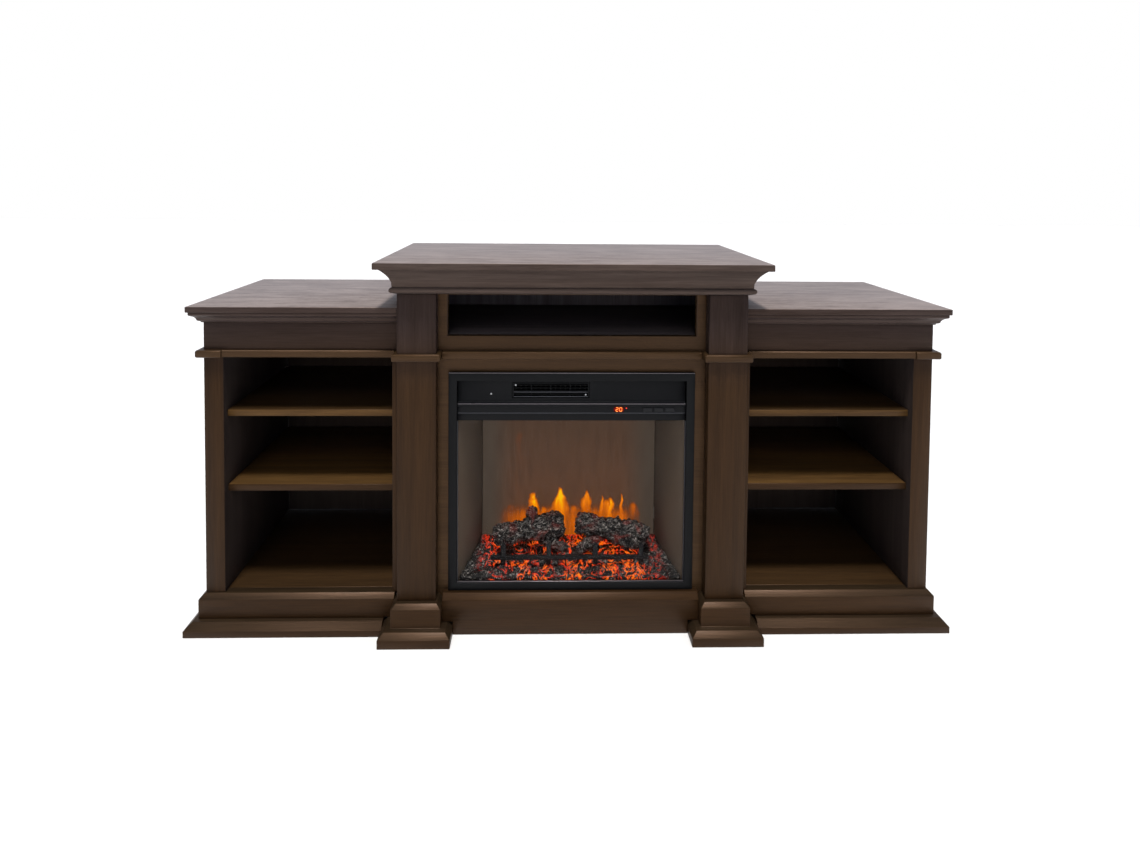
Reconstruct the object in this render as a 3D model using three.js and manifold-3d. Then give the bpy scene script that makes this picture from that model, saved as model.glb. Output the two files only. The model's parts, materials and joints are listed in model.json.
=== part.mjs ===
// Electric fireplace media console: a mantel with an electric insert between two shelved wings.
// Millimetres. +X is the console's right, -Y its front, +Z up. The origin is the middle of the footprint.
import * as THREE from 'three';
import { mergeVertices } from 'three/addons/utils/BufferGeometryUtils.js';
import Module from 'manifold-3d';

const wasm = await Module();
wasm.setup();

// ---------------------------------------------------------------- driving dimensions
// A "depth" is measured forwards from the back of the console, and a "half" sideways from its middle.
const DEPTH = 483;                 // overall, at the feet of the pilasters
const HEIGHT = 897;                // overall, at the centre top
const GAP = 0.3;                   // joint line between neighbouring pieces
const BOARD = 18;                  // carcass board
const BACK_BOARD = 6;              // thin back panels

const FACE = 405;                  // depth of the centre face frame
const CENTRE_HALF = 414;           // outside of the centre side panels
const CENTRE_TOP = { half: 461, depth: 482, thick: 15.5 };
const CROWN_BASE = 820;            // height where the crown starts, on top of the pilasters
const PILASTER = { inner: 322, outer: 414, depth: 438, foot: 86 };
const PILASTER_BLOCK = { inner: 308, outer: 425.5, depth: 457.5 };
const FOOT_OFFSET = DEPTH - PILASTER_BLOCK.depth;
const FOOT_HEIGHT = 32.3;
const BELT = { low: 661, high: 679, nose: 2.5 };
const PILASTER_BAND_OFFSET = 11;
const CENTRE_BELT_DEPTH = 424;
const APRON = { depth: 434.5, top: 95.4, bevel: 12 };
const NICHE = { half: 299.5, low: 713.5, high: 813 };
const MEDIA_SHELF_THICK = 16;

const WING = { face: 403, inner: CENTRE_HALF + 2 * GAP, outer: 879.5, sideThick: 46 };
const WING_TOP = { half: 908, depth: 432.5, low: 772, high: 786 };
const WING_BELT = { offset: 14, runOffset: 8.5 };
const WING_CORNICE_BASE = 744;
const FRIEZE_BACK = WING.face - 14;
const WING_BOTTOM = { top: 87, thick: 16 };
const WING_PLINTH_BASE = 30;
const WING_SHELF = { depth: 386, thick: 16, tops: { upper: 527.5, lower: 343.5 }, play: 0.5 };

const FRAME = { half: 296, low: 96, high: 627, front: 415, side: 20, bottom: 17 };
const CASING = { half: 283, low: 95.6, high: 620.6, back: 200, front: 400.2, wall: 1.5 };
const GLASS = { half: 281, low: 109, high: 507.2, back: 400.5, thick: 4 };
const SCREEN = { half: 227, depth: 262, thick: 3 };
const PARTITION = 511;             // shelf between the flame chamber and the heater above it
const OUTLET = { left: -145, right: 43, low: 561, high: 600 };
const DISPLAY = { left: 101, right: 126, low: 529, high: 542 };
const BUTTON = { xs: { power: 183, up: 210, down: 237 }, z: 534.8, half: 11.5, halfHeight: 5.3, proud: 1.3 };
const STRIP = { front: 407, back: 403 };   // control strip that holds the display and the buttons
const GRATE = {
  half: 197, low: 143, high: 153, back: 362, front: 369, stubs: [-166, -53, 64, 178], stubHalf: 6, top: 178,
};
const ROTOR = { half: 205, radius: 20, shaft: 3, z: 195, depth: 231 };
const BLOWER = { left: -142, right: 40, radius: 24, z: 578, depth: 335, blades: 18 };

// ---------------------------------------------------------------- finishes
const finish = (color, roughness, metalness = 0) =>
  new THREE.MeshStandardMaterial({ color, roughness, metalness });
const walnut = () => finish(0x4b382f, 0.55);
const walnutTop = () => finish(0x54423a, 0.5);
const blackPaint = () => finish(0x15171a, 0.45, 0.3);
const blackPlastic = () => finish(0x101114, 0.4);
const steel = () => finish(0x8d9196, 0.35, 1);
const charcoal = () => finish(0x2b2724, 0.9);
const ember = () => finish(0xc3381a, 0.7);

// ---------------------------------------------------------------- geometry helpers
const yAt = (depth) => DEPTH / 2 - depth;

function place(geometry, x, y, z) {
  geometry.translate(x, y, z);
  return geometry;
}

// A box between two x values, two depths and two heights.
function slab(x0, x1, depth0, depth1, z0, z1) {
  const geometry = new THREE.BoxGeometry(x1 - x0, depth1 - depth0, z1 - z0);
  return place(geometry, (x0 + x1) / 2, yAt((depth0 + depth1) / 2), (z0 + z1) / 2);
}

// A moulded block: a box whose front and chosen sides step out by [offset, height] profile points.
function moulding(x0, x1, depth0, depth1, profile, leftReturn = 1, rightReturn = 1) {
  const levels = profile.length - 1;
  const geometry = new THREE.BoxGeometry(1, 1, 1, 1, 1, levels);
  const corners = geometry.attributes.position;
  for (let i = 0; i < corners.count; i += 1) {
    const [offset, z] = profile[Math.round((corners.getZ(i) + 0.5) * levels)];
    const x = corners.getX(i) < 0 ? x0 - offset * leftReturn : x1 + offset * rightReturn;
    const y = corners.getY(i) < 0 ? yAt(depth1 + offset) : yAt(depth0);
    corners.setXYZ(i, x, y, z);
  }
  return geometry;
}

// A hollow curve between two profile points, sunk by a sagitta.
function cove([a0, z0], [a1, z1], sagitta, steps = 6) {
  const start = new THREE.Vector2(a0, z0);
  const end = new THREE.Vector2(a1, z1);
  const along = end.clone().sub(start).normalize();
  const inward = new THREE.Vector2(-along.y, along.x).multiplyScalar(2 * sagitta);
  const middle = start.clone().add(end).multiplyScalar(0.5).add(inward);
  const curve = new THREE.QuadraticBezierCurve(start, middle, end);
  return curve.getPoints(steps).map((p) => [p.x, p.y]);
}

// A half-round bead of a radius, standing on an offset.
function bead(offset, low, radius, steps = 6) {
  const points = [];
  for (let i = 0; i <= steps; i += 1) {
    const angle = (i / steps - 0.5) * Math.PI;
    points.push([offset + radius * Math.cos(angle), low + radius + radius * Math.sin(angle)]);
  }
  return points;
}

function solid(geometry) {
  const bare = geometry.index ? geometry.clone() : geometry;
  bare.deleteAttribute('normal');
  bare.deleteAttribute('uv');
  const welded = mergeVertices(bare, 1e-4);
  const vertProperties = new Float32Array(welded.attributes.position.array);
  const triVerts = new Uint32Array(welded.index.array);
  return new wasm.Manifold(new wasm.Mesh({ numProp: 3, vertProperties, triVerts }));
}

function toGeometry(manifold) {
  const mesh = manifold.getMesh();
  const geometry = new THREE.BufferGeometry();
  geometry.setAttribute('position', new THREE.BufferAttribute(new Float32Array(mesh.vertProperties), 3));
  geometry.setIndex(new THREE.BufferAttribute(new Uint32Array(mesh.triVerts), 1));
  geometry.computeVertexNormals();
  return geometry;
}

const cut = (geometry, ...tools) =>
  toGeometry(tools.reduce((rest, tool) => rest.subtract(solid(tool)), solid(geometry)));
const join = (...geometries) =>
  toGeometry(geometries.slice(1).reduce((sum, next) => sum.add(solid(next)), solid(geometries[0])));

// A cylinder along X or along Y, from its middle.
function rodX(radius, x0, x1, depth, z, sides = 24) {
  const geometry = new THREE.CylinderGeometry(radius, radius, x1 - x0, sides);
  geometry.rotateZ(Math.PI / 2);
  return place(geometry, (x0 + x1) / 2, yAt(depth), z);
}

function rodY(radius, x, depth0, depth1, z, sides = 24) {
  const geometry = new THREE.CylinderGeometry(radius, radius, depth1 - depth0, sides);
  return place(geometry, x, yAt((depth0 + depth1) / 2), z);
}

const model = new THREE.Group();
function add(name, geometry, material) {
  const mesh = new THREE.Mesh(geometry, material);
  mesh.name = name;
  model.add(mesh);
}

// The same piece on the left (side -1) and on the right (side +1): x limits counted outwards.
const spanX = (side, inner, outer) => (side > 0 ? [inner, outer] : [-outer, -inner]);
function sidedSlab(side, inner, outer, ...rest) {
  return slab(...spanX(side, inner, outer), ...rest);
}
function sidedMoulding(side, inner, outer, depth0, depth1, profile, innerReturn = 0) {
  const returns = side > 0 ? [innerReturn, 1] : [1, innerReturn];
  return moulding(...spanX(side, inner, outer), depth0, depth1, profile, ...returns);
}

// ---------------------------------------------------------------- centre section
function centreTop() {
  const { half, depth, thick } = CENTRE_TOP;
  return slab(-half, half, 0, depth, HEIGHT - thick, HEIGHT);
}

function crownMoulding() {
  const top = HEIGHT - CENTRE_TOP.thick - GAP;
  const profile = [
    [0, CROWN_BASE],
    [8, CROWN_BASE + 2.5],
    ...bead(9, CROWN_BASE + 3, 6.8),
    [10, CROWN_BASE + 18],
    ...cove([10.5, CROWN_BASE + 28], [36, top], 3),
  ];
  const ring = moulding(-CENTRE_HALF, CENTRE_HALF, 0, PILASTER.depth, profile);
  const inside = CENTRE_HALF - BOARD;
  return cut(ring, slab(-inside, inside, -10, FACE - BOARD, CROWN_BASE - 10, HEIGHT));
}

const centreSide = (side) =>
  sidedSlab(side, CENTRE_HALF - BOARD, CENTRE_HALF, 0, FACE - GAP, 0, CROWN_BASE - GAP);

const pilaster = (side) =>
  sidedSlab(side, PILASTER.inner, PILASTER.outer, FACE + GAP, PILASTER.depth,
    PILASTER.foot + GAP, CROWN_BASE - GAP);

function pilasterBlock(side) {
  const profile = [
    [FOOT_OFFSET, 0],
    [FOOT_OFFSET, FOOT_HEIGHT - 12],
    [FOOT_OFFSET - 12, FOOT_HEIGHT],
    [0, FOOT_HEIGHT],
    [0, PILASTER.foot - 10],
    [-10, PILASTER.foot],
  ];
  const { inner, outer, depth } = PILASTER_BLOCK;
  return sidedMoulding(side, inner, outer, FACE + GAP, depth, profile, 1);
}

function pilasterBand(side) {
  const { low, high, nose } = BELT;
  const out = PILASTER_BAND_OFFSET;
  const profile = [
    [out - nose, low],
    [out, low + nose],
    [out, high - nose],
    [out - nose, high],
  ];
  const { inner, outer, depth } = PILASTER;
  const ring = sidedMoulding(side, inner, outer, FACE + GAP, depth, profile, 1);
  const post = sidedSlab(side, inner - GAP, outer + GAP, 0, depth + GAP, low - 10, high + 10);
  return cut(ring, post);
}

function centreFaceFrame() {
  const half = CENTRE_HALF - BOARD - GAP;
  const board = slab(-half, half, FACE - BOARD, FACE, 0, CROWN_BASE - GAP);
  const niche = slab(-NICHE.half, NICHE.half, 0, DEPTH, NICHE.low, NICHE.high);
  const insert = slab(-CASING.half - 1.5, CASING.half + 1.5, 0, DEPTH, CASING.low - GAP, CASING.high + 1);
  return cut(board, niche, insert);
}

function centreBelt() {
  const { low, high, nose } = BELT;
  const half = PILASTER.inner - PILASTER_BAND_OFFSET - GAP;
  const profile = [
    [-nose, low],
    [0, low + nose],
    [0, high - nose],
    [-nose, high],
  ];
  return moulding(-half, half, FACE + GAP, CENTRE_BELT_DEPTH, profile, 0, 0);
}

function apron() {
  const { depth, top, bevel } = APRON;
  const wide = PILASTER_BLOCK.inner - GAP;
  const narrow = wide - FOOT_OFFSET;
  const profile = [
    [0, 0],
    [0, top - bevel],
    [-bevel, top],
  ];
  const board = moulding(-wide, wide, FACE + GAP, depth, profile, 0, 0);
  const feet = [-1, 1].map((side) => sidedSlab(side, narrow, wide + 10, 0, DEPTH, -10, FOOT_HEIGHT + GAP));
  return cut(board, ...feet);
}

function mediaShelf() {
  const half = CENTRE_HALF - BOARD - GAP;
  const top = NICHE.low - GAP;
  return slab(-half, half, BACK_BOARD + 2 * GAP, FACE - BOARD - GAP, top - MEDIA_SHELF_THICK, top);
}

function centreBack() {
  const half = CENTRE_HALF - BOARD - GAP;
  const panel = slab(-half, half, GAP, BACK_BOARD, 0, HEIGHT - CENTRE_TOP.thick - 2 * GAP);
  const service = slab(-250, 250, -10, 20, 130, 560);
  return cut(panel, service);
}

function insertFloor() {
  const half = CENTRE_HALF - BOARD - GAP;
  const top = CASING.low - GAP;
  return slab(-half, half, BACK_BOARD + 2 * GAP, FACE - BOARD - GAP, top - BOARD, top);
}

add('centre_top', centreTop(), walnutTop());
add('crown_moulding', crownMoulding(), walnut());
add('centre_face_frame', centreFaceFrame(), walnut());
add('centre_belt', centreBelt(), walnut());
add('apron', apron(), walnut());
add('media_shelf', mediaShelf(), walnut());
add('centre_back', centreBack(), walnut());
add('insert_floor', insertFloor(), walnut());

// ---------------------------------------------------------------- wings
const wingTop = (side) =>
  sidedSlab(side, WING.inner, WING_TOP.half, 0, WING_TOP.depth, WING_TOP.low, WING_TOP.high);

// An L-shaped moulding along the front and the outer side of a wing.
function wingMoulding(side, inner, profile) {
  const low = profile[0][1];
  const high = profile[profile.length - 1][1];
  const outline = sidedMoulding(side, inner, WING.outer, 0, WING.face, profile);
  const inside = sidedSlab(side, 0, WING.outer - BOARD, -10, WING.face - BOARD, low - 10, high + 10);
  return cut(outline, inside);
}

function wingCornice(side) {
  const base = WING_CORNICE_BASE;
  const profile = [
    [4, base],
    [4, base + 2.6],
    ...cove([10.5, base + 5.5], [20, base + 18], 2.2, 5),
    [24.5, base + 20.5],
    [24.5, WING_TOP.low - GAP],
  ];
  return wingMoulding(side, WING.inner, profile);
}

// A full-height side of a wing, rebated at the top of its front for the frieze board.
function wingSide(side, inner, outer) {
  const low = WING_BOTTOM.top + GAP;
  const panel = sidedSlab(side, inner, outer, 0, WING.face, low, WING_CORNICE_BASE - GAP);
  const rebate = sidedSlab(side, 0, DEPTH * 2, FRIEZE_BACK - GAP, DEPTH, BELT.low - GAP, HEIGHT);
  return cut(panel, rebate);
}

const wingSideOuter = (side) => wingSide(side, WING.outer - WING.sideThick, WING.outer);
const wingSideInner = (side) => wingSide(side, WING.inner, WING.inner + BOARD - GAP);

const CAVITY = { inner: WING.inner + BOARD, outer: WING.outer - WING.sideThick - GAP };

const wingFrieze = (side) =>
  sidedSlab(side, WING.inner, WING.outer, FRIEZE_BACK, WING.face, BELT.low, WING_CORNICE_BASE - GAP);

// The belt wraps the end post a little prouder than it runs between the post and the centre.
function wingBelt(side) {
  const { low, high, nose } = BELT;
  const { offset, runOffset } = WING_BELT;
  const step = (out) => [[out - nose, low], [out, low + nose], [out, high - nose], [out - nose, high]];
  const inner = PILASTER.outer + PILASTER_BAND_OFFSET + GAP;
  const run = sidedMoulding(side, inner, WING.outer, 0, WING.face, step(runOffset));
  const post = sidedMoulding(side, CAVITY.outer, WING.outer, 0, WING.face, step(offset));
  const body = sidedSlab(side, 0, WING.outer + GAP, -10, WING.face + GAP, low - 10, high + 10);
  return cut(join(run, post), body);
}

function wingPlinth(side) {
  const top = WING_BOTTOM.top;
  const profile = [
    [13, WING_PLINTH_BASE + GAP],
    [13, top - 11],
    [2, top],
  ];
  const foot = sidedSlab(side, 0, PILASTER_BLOCK.outer + FOOT_OFFSET + GAP, 0, DEPTH, 0, FOOT_HEIGHT + GAP);
  return cut(wingMoulding(side, PILASTER_BLOCK.outer + GAP, profile), foot);
}

function wingBase(side) {
  const profile = [
    [37.5, 0],
    [37.5, 15.5],
    [23, WING_PLINTH_BASE - 0.5],
    [23, WING_PLINTH_BASE],
  ];
  return wingMoulding(side, PILASTER_BLOCK.outer + FOOT_OFFSET + GAP, profile);
}

function wingBottom(side) {
  const { top, thick } = WING_BOTTOM;
  const outer = WING.outer - BOARD - GAP;
  return sidedSlab(side, WING.inner, outer, 0, WING.face - BOARD - GAP, top - thick, top);
}

const wingBack = (side) =>
  sidedSlab(side, CAVITY.inner, CAVITY.outer, GAP, BACK_BOARD, WING_BOTTOM.top + GAP, WING_TOP.low - GAP);

function wingShelf(side, level) {
  const { depth, thick, tops, play } = WING_SHELF;
  const top = tops[level];
  return sidedSlab(side, CAVITY.inner + play, CAVITY.outer - play, BACK_BOARD + 9, depth, top - thick, top);
}

for (const [word, side] of [['left', -1], ['right', 1]]) {
  add(`centre_side_${word}`, centreSide(side), walnut());
  add(`pilaster_${word}`, pilaster(side), walnut());
  add(`pilaster_plinth_${word}`, pilasterBlock(side), walnut());
  add(`pilaster_band_${word}`, pilasterBand(side), walnut());
  add(`wing_top_${word}`, wingTop(side), walnutTop());
  add(`wing_cornice_${word}`, wingCornice(side), walnut());
  add(`wing_side_outer_${word}`, wingSideOuter(side), walnut());
  add(`wing_side_inner_${word}`, wingSideInner(side), walnut());
  add(`wing_frieze_${word}`, wingFrieze(side), walnut());
  add(`wing_belt_${word}`, wingBelt(side), walnut());
  add(`wing_plinth_${word}`, wingPlinth(side), walnut());
  add(`wing_base_${word}`, wingBase(side), walnut());
  add(`wing_bottom_${word}`, wingBottom(side), walnut());
  add(`wing_back_${word}`, wingBack(side), walnut());
  for (const level of ['upper', 'lower']) {
    add(`shelf_${level}_${word}`, wingShelf(side, level), walnut());
  }
}

// ---------------------------------------------------------------- electric insert
function trimFrame() {
  const { half, low, high, front, side, bottom } = FRAME;
  const plate = slab(-half, half, FACE + GAP, front, low, high);
  return cut(plate, slab(-half + side, half - side, 0, DEPTH, low + bottom, high - side));
}

// Sheet-metal box, open in front, with a shelf under the heater and splayed walls beside the fire.
function insertCasing() {
  const { half, low, high, back, front, wall } = CASING;
  const shell = cut(
    slab(-half, half, back, front, low, high),
    slab(-half + wall, half - wall, back + wall, front + 10, low + wall, high - wall),
  );
  const shelf = slab(-half + 1, half - 1, back + 1, front, PARTITION, PARTITION + wall);
  const rise = PARTITION - low;
  const splays = [-1, 1].map((side) => {
    const outline = new THREE.Shape([
      new THREE.Vector2(side * 274, yAt(front - 4)),
      new THREE.Vector2(side * (SCREEN.half + 1), yAt(SCREEN.depth + 1)),
      new THREE.Vector2(side * (SCREEN.half + 3), yAt(SCREEN.depth + 1)),
      new THREE.Vector2(side * 276, yAt(front - 4)),
    ]);
    return place(new THREE.ExtrudeGeometry(outline, { depth: rise, bevelEnabled: false }), 0, 0, low + 1);
  });
  const outlets = [-1, 0, 1].map((i) => slab(i * 90 - 30, i * 90 + 30, back - 5, back + 5, 560, 580));
  return cut(join(shell, shelf, ...splays), ...outlets);
}

// One pressed panel: recessed heater plate, bright rail, control strip and a dark band over the glass.
function controlFascia() {
  const half = FRAME.half - FRAME.side - GAP;
  const low = 507.5;
  const high = FRAME.high - FRAME.side - GAP;
  const front = [
    [404, low],
    [404, 523.5],
    [STRIP.front, 524.5],
    [STRIP.front, 543],
    [410, 544.5],
    [410, 551],
    [400, 553],
    [400, high],
  ];
  const back = [
    [396, high],
    [396, 549],
    [STRIP.back, 547],
    [STRIP.back, 527.5],
    [401, 526],
    [401, low],
  ];
  const outline = new THREE.Shape([...front, ...back].map(([depth, z]) => new THREE.Vector2(depth, z)));
  const run = new THREE.ExtrudeGeometry(outline, { depth: 2 * half, bevelEnabled: false });
  // Section (depth, height) extruded along +X.
  const turn = new THREE.Matrix4().makeBasis(
    new THREE.Vector3(0, -1, 0),
    new THREE.Vector3(0, 0, 1),
    new THREE.Vector3(-1, 0, 0),
  );
  run.applyMatrix4(turn);
  place(run, half, yAt(0), 0);
  const holes = [
    slab(OUTLET.left, OUTLET.right, 380, 420, OUTLET.low, OUTLET.high),
    slab(DISPLAY.left, DISPLAY.right, 380, 420, DISPLAY.low, DISPLAY.high),
    ...Object.values(BUTTON.xs).map((x) => slab(x - BUTTON.half, x + BUTTON.half, 380, 420,
      BUTTON.z - BUTTON.halfHeight, BUTTON.z + BUTTON.halfHeight)),
  ];
  return cut(run, ...holes);
}

function outletGrille() {
  const inset = GAP + 0.2;
  const { left, right, low, high } = OUTLET;
  const depths = [389, 397.5];
  const rim = cut(
    slab(left + inset, right - inset, ...depths, low + inset, high - inset),
    slab(left + 4, right - 4, 380, 420, low + 4, high - 4),
  );
  const slats = [0, 1, 2, 3].map((i) => {
    const z = low + 8.5 + i * 7.3;
    return slab(left + 2, right - 2, ...depths, z, z + 1.5);
  });
  const bars = [0.25, 0.5, 0.75].map((t) => {
    const x = left + (right - left) * t;
    return slab(x - 1.5, x + 1.5, 389, 394, low + 2, high - 2);
  });
  return join(rim, ...slats, ...bars);
}

function displayLens() {
  const { left, right, low, high } = DISPLAY;
  return slab(left + GAP, right - GAP, STRIP.back, STRIP.front - 0.5, low + GAP, high - GAP);
}

// A flat rectangular key with a flange behind the panel, so that it can't fall out.
function button(x) {
  const { z, half, halfHeight, proud } = BUTTON;
  const play = 0.4;
  const lip = 1.2;
  const wide = half - play;
  const tall = halfHeight - play;
  const rear = STRIP.back - GAP;
  const cap = slab(x - wide, x + wide, rear - 3, STRIP.front + proud, z - tall, z + tall);
  const flangeHeights = [z - halfHeight - lip, z + halfHeight + lip];
  const flange = slab(x - half - lip, x + half + lip, rear - 3, rear, ...flangeHeights);
  return join(cap, flange);
}

const glassFront = () =>
  slab(-GLASS.half, GLASS.half, GLASS.back, GLASS.back + GLASS.thick, GLASS.low, GLASS.high);

const flameScreen = () =>
  slab(-SCREEN.half, SCREEN.half, SCREEN.depth - SCREEN.thick, SCREEN.depth, CASING.low + 2, PARTITION - GAP);

// The bed of embers: a tray that rises from the glass to the screen, heaped into a rough surface.
function emberBed() {
  const columns = 26;
  const rows = 7;
  const low = CASING.low + 2;
  const geometry = new THREE.BoxGeometry(1, 1, 1, columns, rows, 1);
  const points = geometry.attributes.position;
  for (let i = 0; i < points.count; i += 1) {
    const across = points.getX(i) * 2;
    const inward = points.getY(i) + 0.5;
    const depth = THREE.MathUtils.lerp(395, SCREEN.depth + 1, inward);
    const half = THREE.MathUtils.lerp(271, SCREEN.half - 1, inward);
    const heap = 5 * Math.sin(across * 23 + inward * 9) * Math.cos(across * 11 - inward * 17);
    const edge = Math.abs(across) > 0.99 || inward < 0.01 || inward > 0.99;
    const rise = THREE.MathUtils.lerp(117, 149, inward) + (edge ? 0 : heap);
    points.setXYZ(i, across * half, yAt(depth), points.getZ(i) > 0 ? rise : low);
  }
  return geometry;
}

// A knobbly log along +X: a closed lathe form that tapers between two radii and wanders a little.
function log(length, [startRadius, endRadius], seed) {
  const sections = 12;
  const profile = [new THREE.Vector2(0, -length / 2)];
  for (let i = 0; i <= sections; i += 1) {
    const t = i / sections;
    const end = Math.min(1, 0.78 + 2.2 * Math.min(t, 1 - t));
    const wander = 1 + 0.08 * Math.sin(seed + t * 9) + 0.05 * Math.sin(seed * 2 + t * 21);
    const radius = THREE.MathUtils.lerp(startRadius, endRadius, t);
    profile.push(new THREE.Vector2(radius * end * wander, (t - 0.5) * length));
  }
  profile.push(new THREE.Vector2(0, length / 2));
  const geometry = new THREE.LatheGeometry(profile, 12);
  geometry.rotateZ(-Math.PI / 2);
  return geometry;
}

// A log with its middle at x, depth and z, turned in plan by yaw and tipped up by pitch (degrees).
function layLog({ length, radii, x, depth, z, yaw = 0, pitch = 0, seed = 0 }) {
  const geometry = log(length, radii, seed);
  geometry.rotateY(-THREE.MathUtils.degToRad(pitch));
  geometry.rotateZ(THREE.MathUtils.degToRad(yaw));
  return place(geometry, x, yAt(depth), z);
}

const logLeft = () => join(
  layLog({ length: 180, radii: [23, 31], x: -103, depth: 313, z: 190, yaw: 3, pitch: 9, seed: 1 }),
  layLog({ length: 60, radii: [16, 12], x: -99, depth: 318, z: 218, pitch: 76, seed: 4 }),
  layLog({ length: 84, radii: [13, 10], x: -42, depth: 333, z: 167, yaw: -38, pitch: 4, seed: 5 }),
);

const logRight = () => join(
  layLog({ length: 184, radii: [26, 25], x: 110, depth: 316, z: 193, yaw: -4, pitch: -8, seed: 2 }),
  layLog({ length: 84, radii: [11, 14], x: 52, depth: 334, z: 168, yaw: 40, pitch: 6, seed: 3 }),
  layLog({ length: 70, radii: [13, 10], x: 142, depth: 332, z: 167, yaw: -24, pitch: -4, seed: 7 }),
);

// A square bar across the embers with round-topped stubs that stop the logs from rolling.
function emberGrate() {
  const { half, low, high, front, back } = GRATE;
  const bar = slab(-half, half, back, front, low, high);
  const stubs = GRATE.stubs.flatMap((x) => [
    slab(x - GRATE.stubHalf, x + GRATE.stubHalf, back + 0.5, front - 0.5, low - 12, GRATE.top),
    rodY(GRATE.stubHalf, x, back + 0.5, front - 0.5, GRATE.top, 16),
  ]);
  return join(bar, ...stubs);
}

add('insert_casing', insertCasing(), blackPaint());
add('trim_frame', trimFrame(), blackPaint());
add('control_fascia', controlFascia(), blackPlastic());
add('outlet_grille', outletGrille(), blackPaint());
add('display_lens', displayLens(), finish(0x2a0505, 0.1));
for (const [word, x] of Object.entries(BUTTON.xs)) {
  add(`${word}_button`, button(x), blackPlastic());
}
add('glass_front', glassFront(), finish(0x39332e, 0.05));
add('flame_screen', flameScreen(), finish(0x6b4a34, 0.3));
add('ember_bed', emberBed(), ember());
add('log_left', logLeft(), charcoal());
add('log_right', logRight(), charcoal());
add('ember_grate', emberGrate(), blackPaint());

// ---------------------------------------------------------------- fire and heat machinery
// A shaft with short slanted reflector blades, which sweeps light up the screen as it turns.
function flameRotor() {
  const { half, radius, shaft, z, depth } = ROTOR;
  const pieces = [rodX(shaft, -half, half, depth, z, 12)];
  const count = 16;
  for (let i = 0; i < count; i += 1) {
    const x = -half + 14 + (i * (2 * half - 28)) / (count - 1);
    const blade = new THREE.BoxGeometry(14, 1.2, radius * 2);
    blade.rotateZ(THREE.MathUtils.degToRad(28));
    blade.rotateX((i * Math.PI * 5) / 16);
    pieces.push(place(blade, x, yAt(depth), z));
  }
  return join(...pieces);
}

function rotorMotor() {
  const x0 = ROTOR.half + 0.8;
  const body = rodX(18, x0, x0 + 26, ROTOR.depth, ROTOR.z);
  const footDepth = CASING.back + CASING.wall + GAP;
  const foot = slab(x0 + 2, x0 + 24, footDepth, ROTOR.depth, ROTOR.z - 22, ROTOR.z + 22);
  return join(body, foot);
}

// Cross-flow wheel: end discs, a shaft and a ring of curved blades.
function blowerWheel() {
  const { left, right, radius, z, depth, blades } = BLOWER;
  const pieces = [left, (left + right) / 2 - 1.5, right - 3].map((x) => rodX(radius, x, x + 3, depth, z, 30));
  pieces.push(rodX(3, left, right + 6, depth, z, 12));
  for (let i = 0; i < blades; i += 1) {
    const blade = new THREE.BoxGeometry(right - left - 2, 1.2, 8);
    blade.rotateX(0.5);
    place(blade, (left + right) / 2, 0, radius - 5);
    blade.rotateX((i * 2 * Math.PI) / blades);
    pieces.push(place(blade, 0, yAt(depth), z));
  }
  return join(...pieces);
}

function blowerMotor() {
  const x0 = BLOWER.right + 6.8;
  const body = rodX(22, x0, x0 + 34, BLOWER.depth, BLOWER.z);
  const top = CASING.high - CASING.wall - GAP;
  const bracket = slab(x0 + 4, x0 + 30, BLOWER.depth - 16, BLOWER.depth + 16, BLOWER.z, top);
  return join(body, bracket);
}

// Ceramic heater: two rails carrying a comb of fins, between the wheel and the outlet.
function heatingElement() {
  const left = OUTLET.left + 6;
  const right = OUTLET.right - 6;
  const rails = [OUTLET.low + 2, OUTLET.high - 8].map((z) => slab(left, right, 366, 382, z, z + 6));
  const count = 15;
  const fins = [];
  for (let i = 0; i < count; i += 1) {
    const x = left + 2 + (i * (right - left - 6)) / (count - 1);
    fins.push(slab(x, x + 2, 368, 380, OUTLET.low + 4, OUTLET.high - 4));
  }
  return join(...rails, ...fins);
}

function cordGland() {
  const gland = new THREE.LatheGeometry([
    new THREE.Vector2(3.8, 0),
    new THREE.Vector2(12, 0),
    new THREE.Vector2(12, 4),
    new THREE.Vector2(8, 5),
    new THREE.Vector2(6, 22),
    new THREE.Vector2(3.8, 22),
    new THREE.Vector2(3.8, 0),
  ], 20);
  return place(gland, 215, yAt(CASING.back - GAP), 160);
}

add('flame_rotor', flameRotor(), steel());
add('rotor_motor', rotorMotor(), steel());
add('blower_wheel', blowerWheel(), steel());
add('blower_motor', blowerMotor(), steel());
add('heating_element', heatingElement(), finish(0xb9b2a4, 0.6));
add('cord_gland', cordGland(), blackPlastic());

export default model;
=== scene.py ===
# %% [markdown]
# # Electric fireplace in a walnut media console
#
# The console is a carcass of stained walnut boards with applied mouldings, and a black steel insert
# in the middle that makes a fire out of light: a lit bed of resin embers, two resin logs and a
# frosted screen that shows the flames. The CAD frame fixes every size and place. This script gives
# each piece its real finish and adds the small things: screws, shelf pins, the digits, the bark,
# the coals.

# %% Load the frame
import json
import math

import bpy
from mathutils import Matrix, Vector


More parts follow.
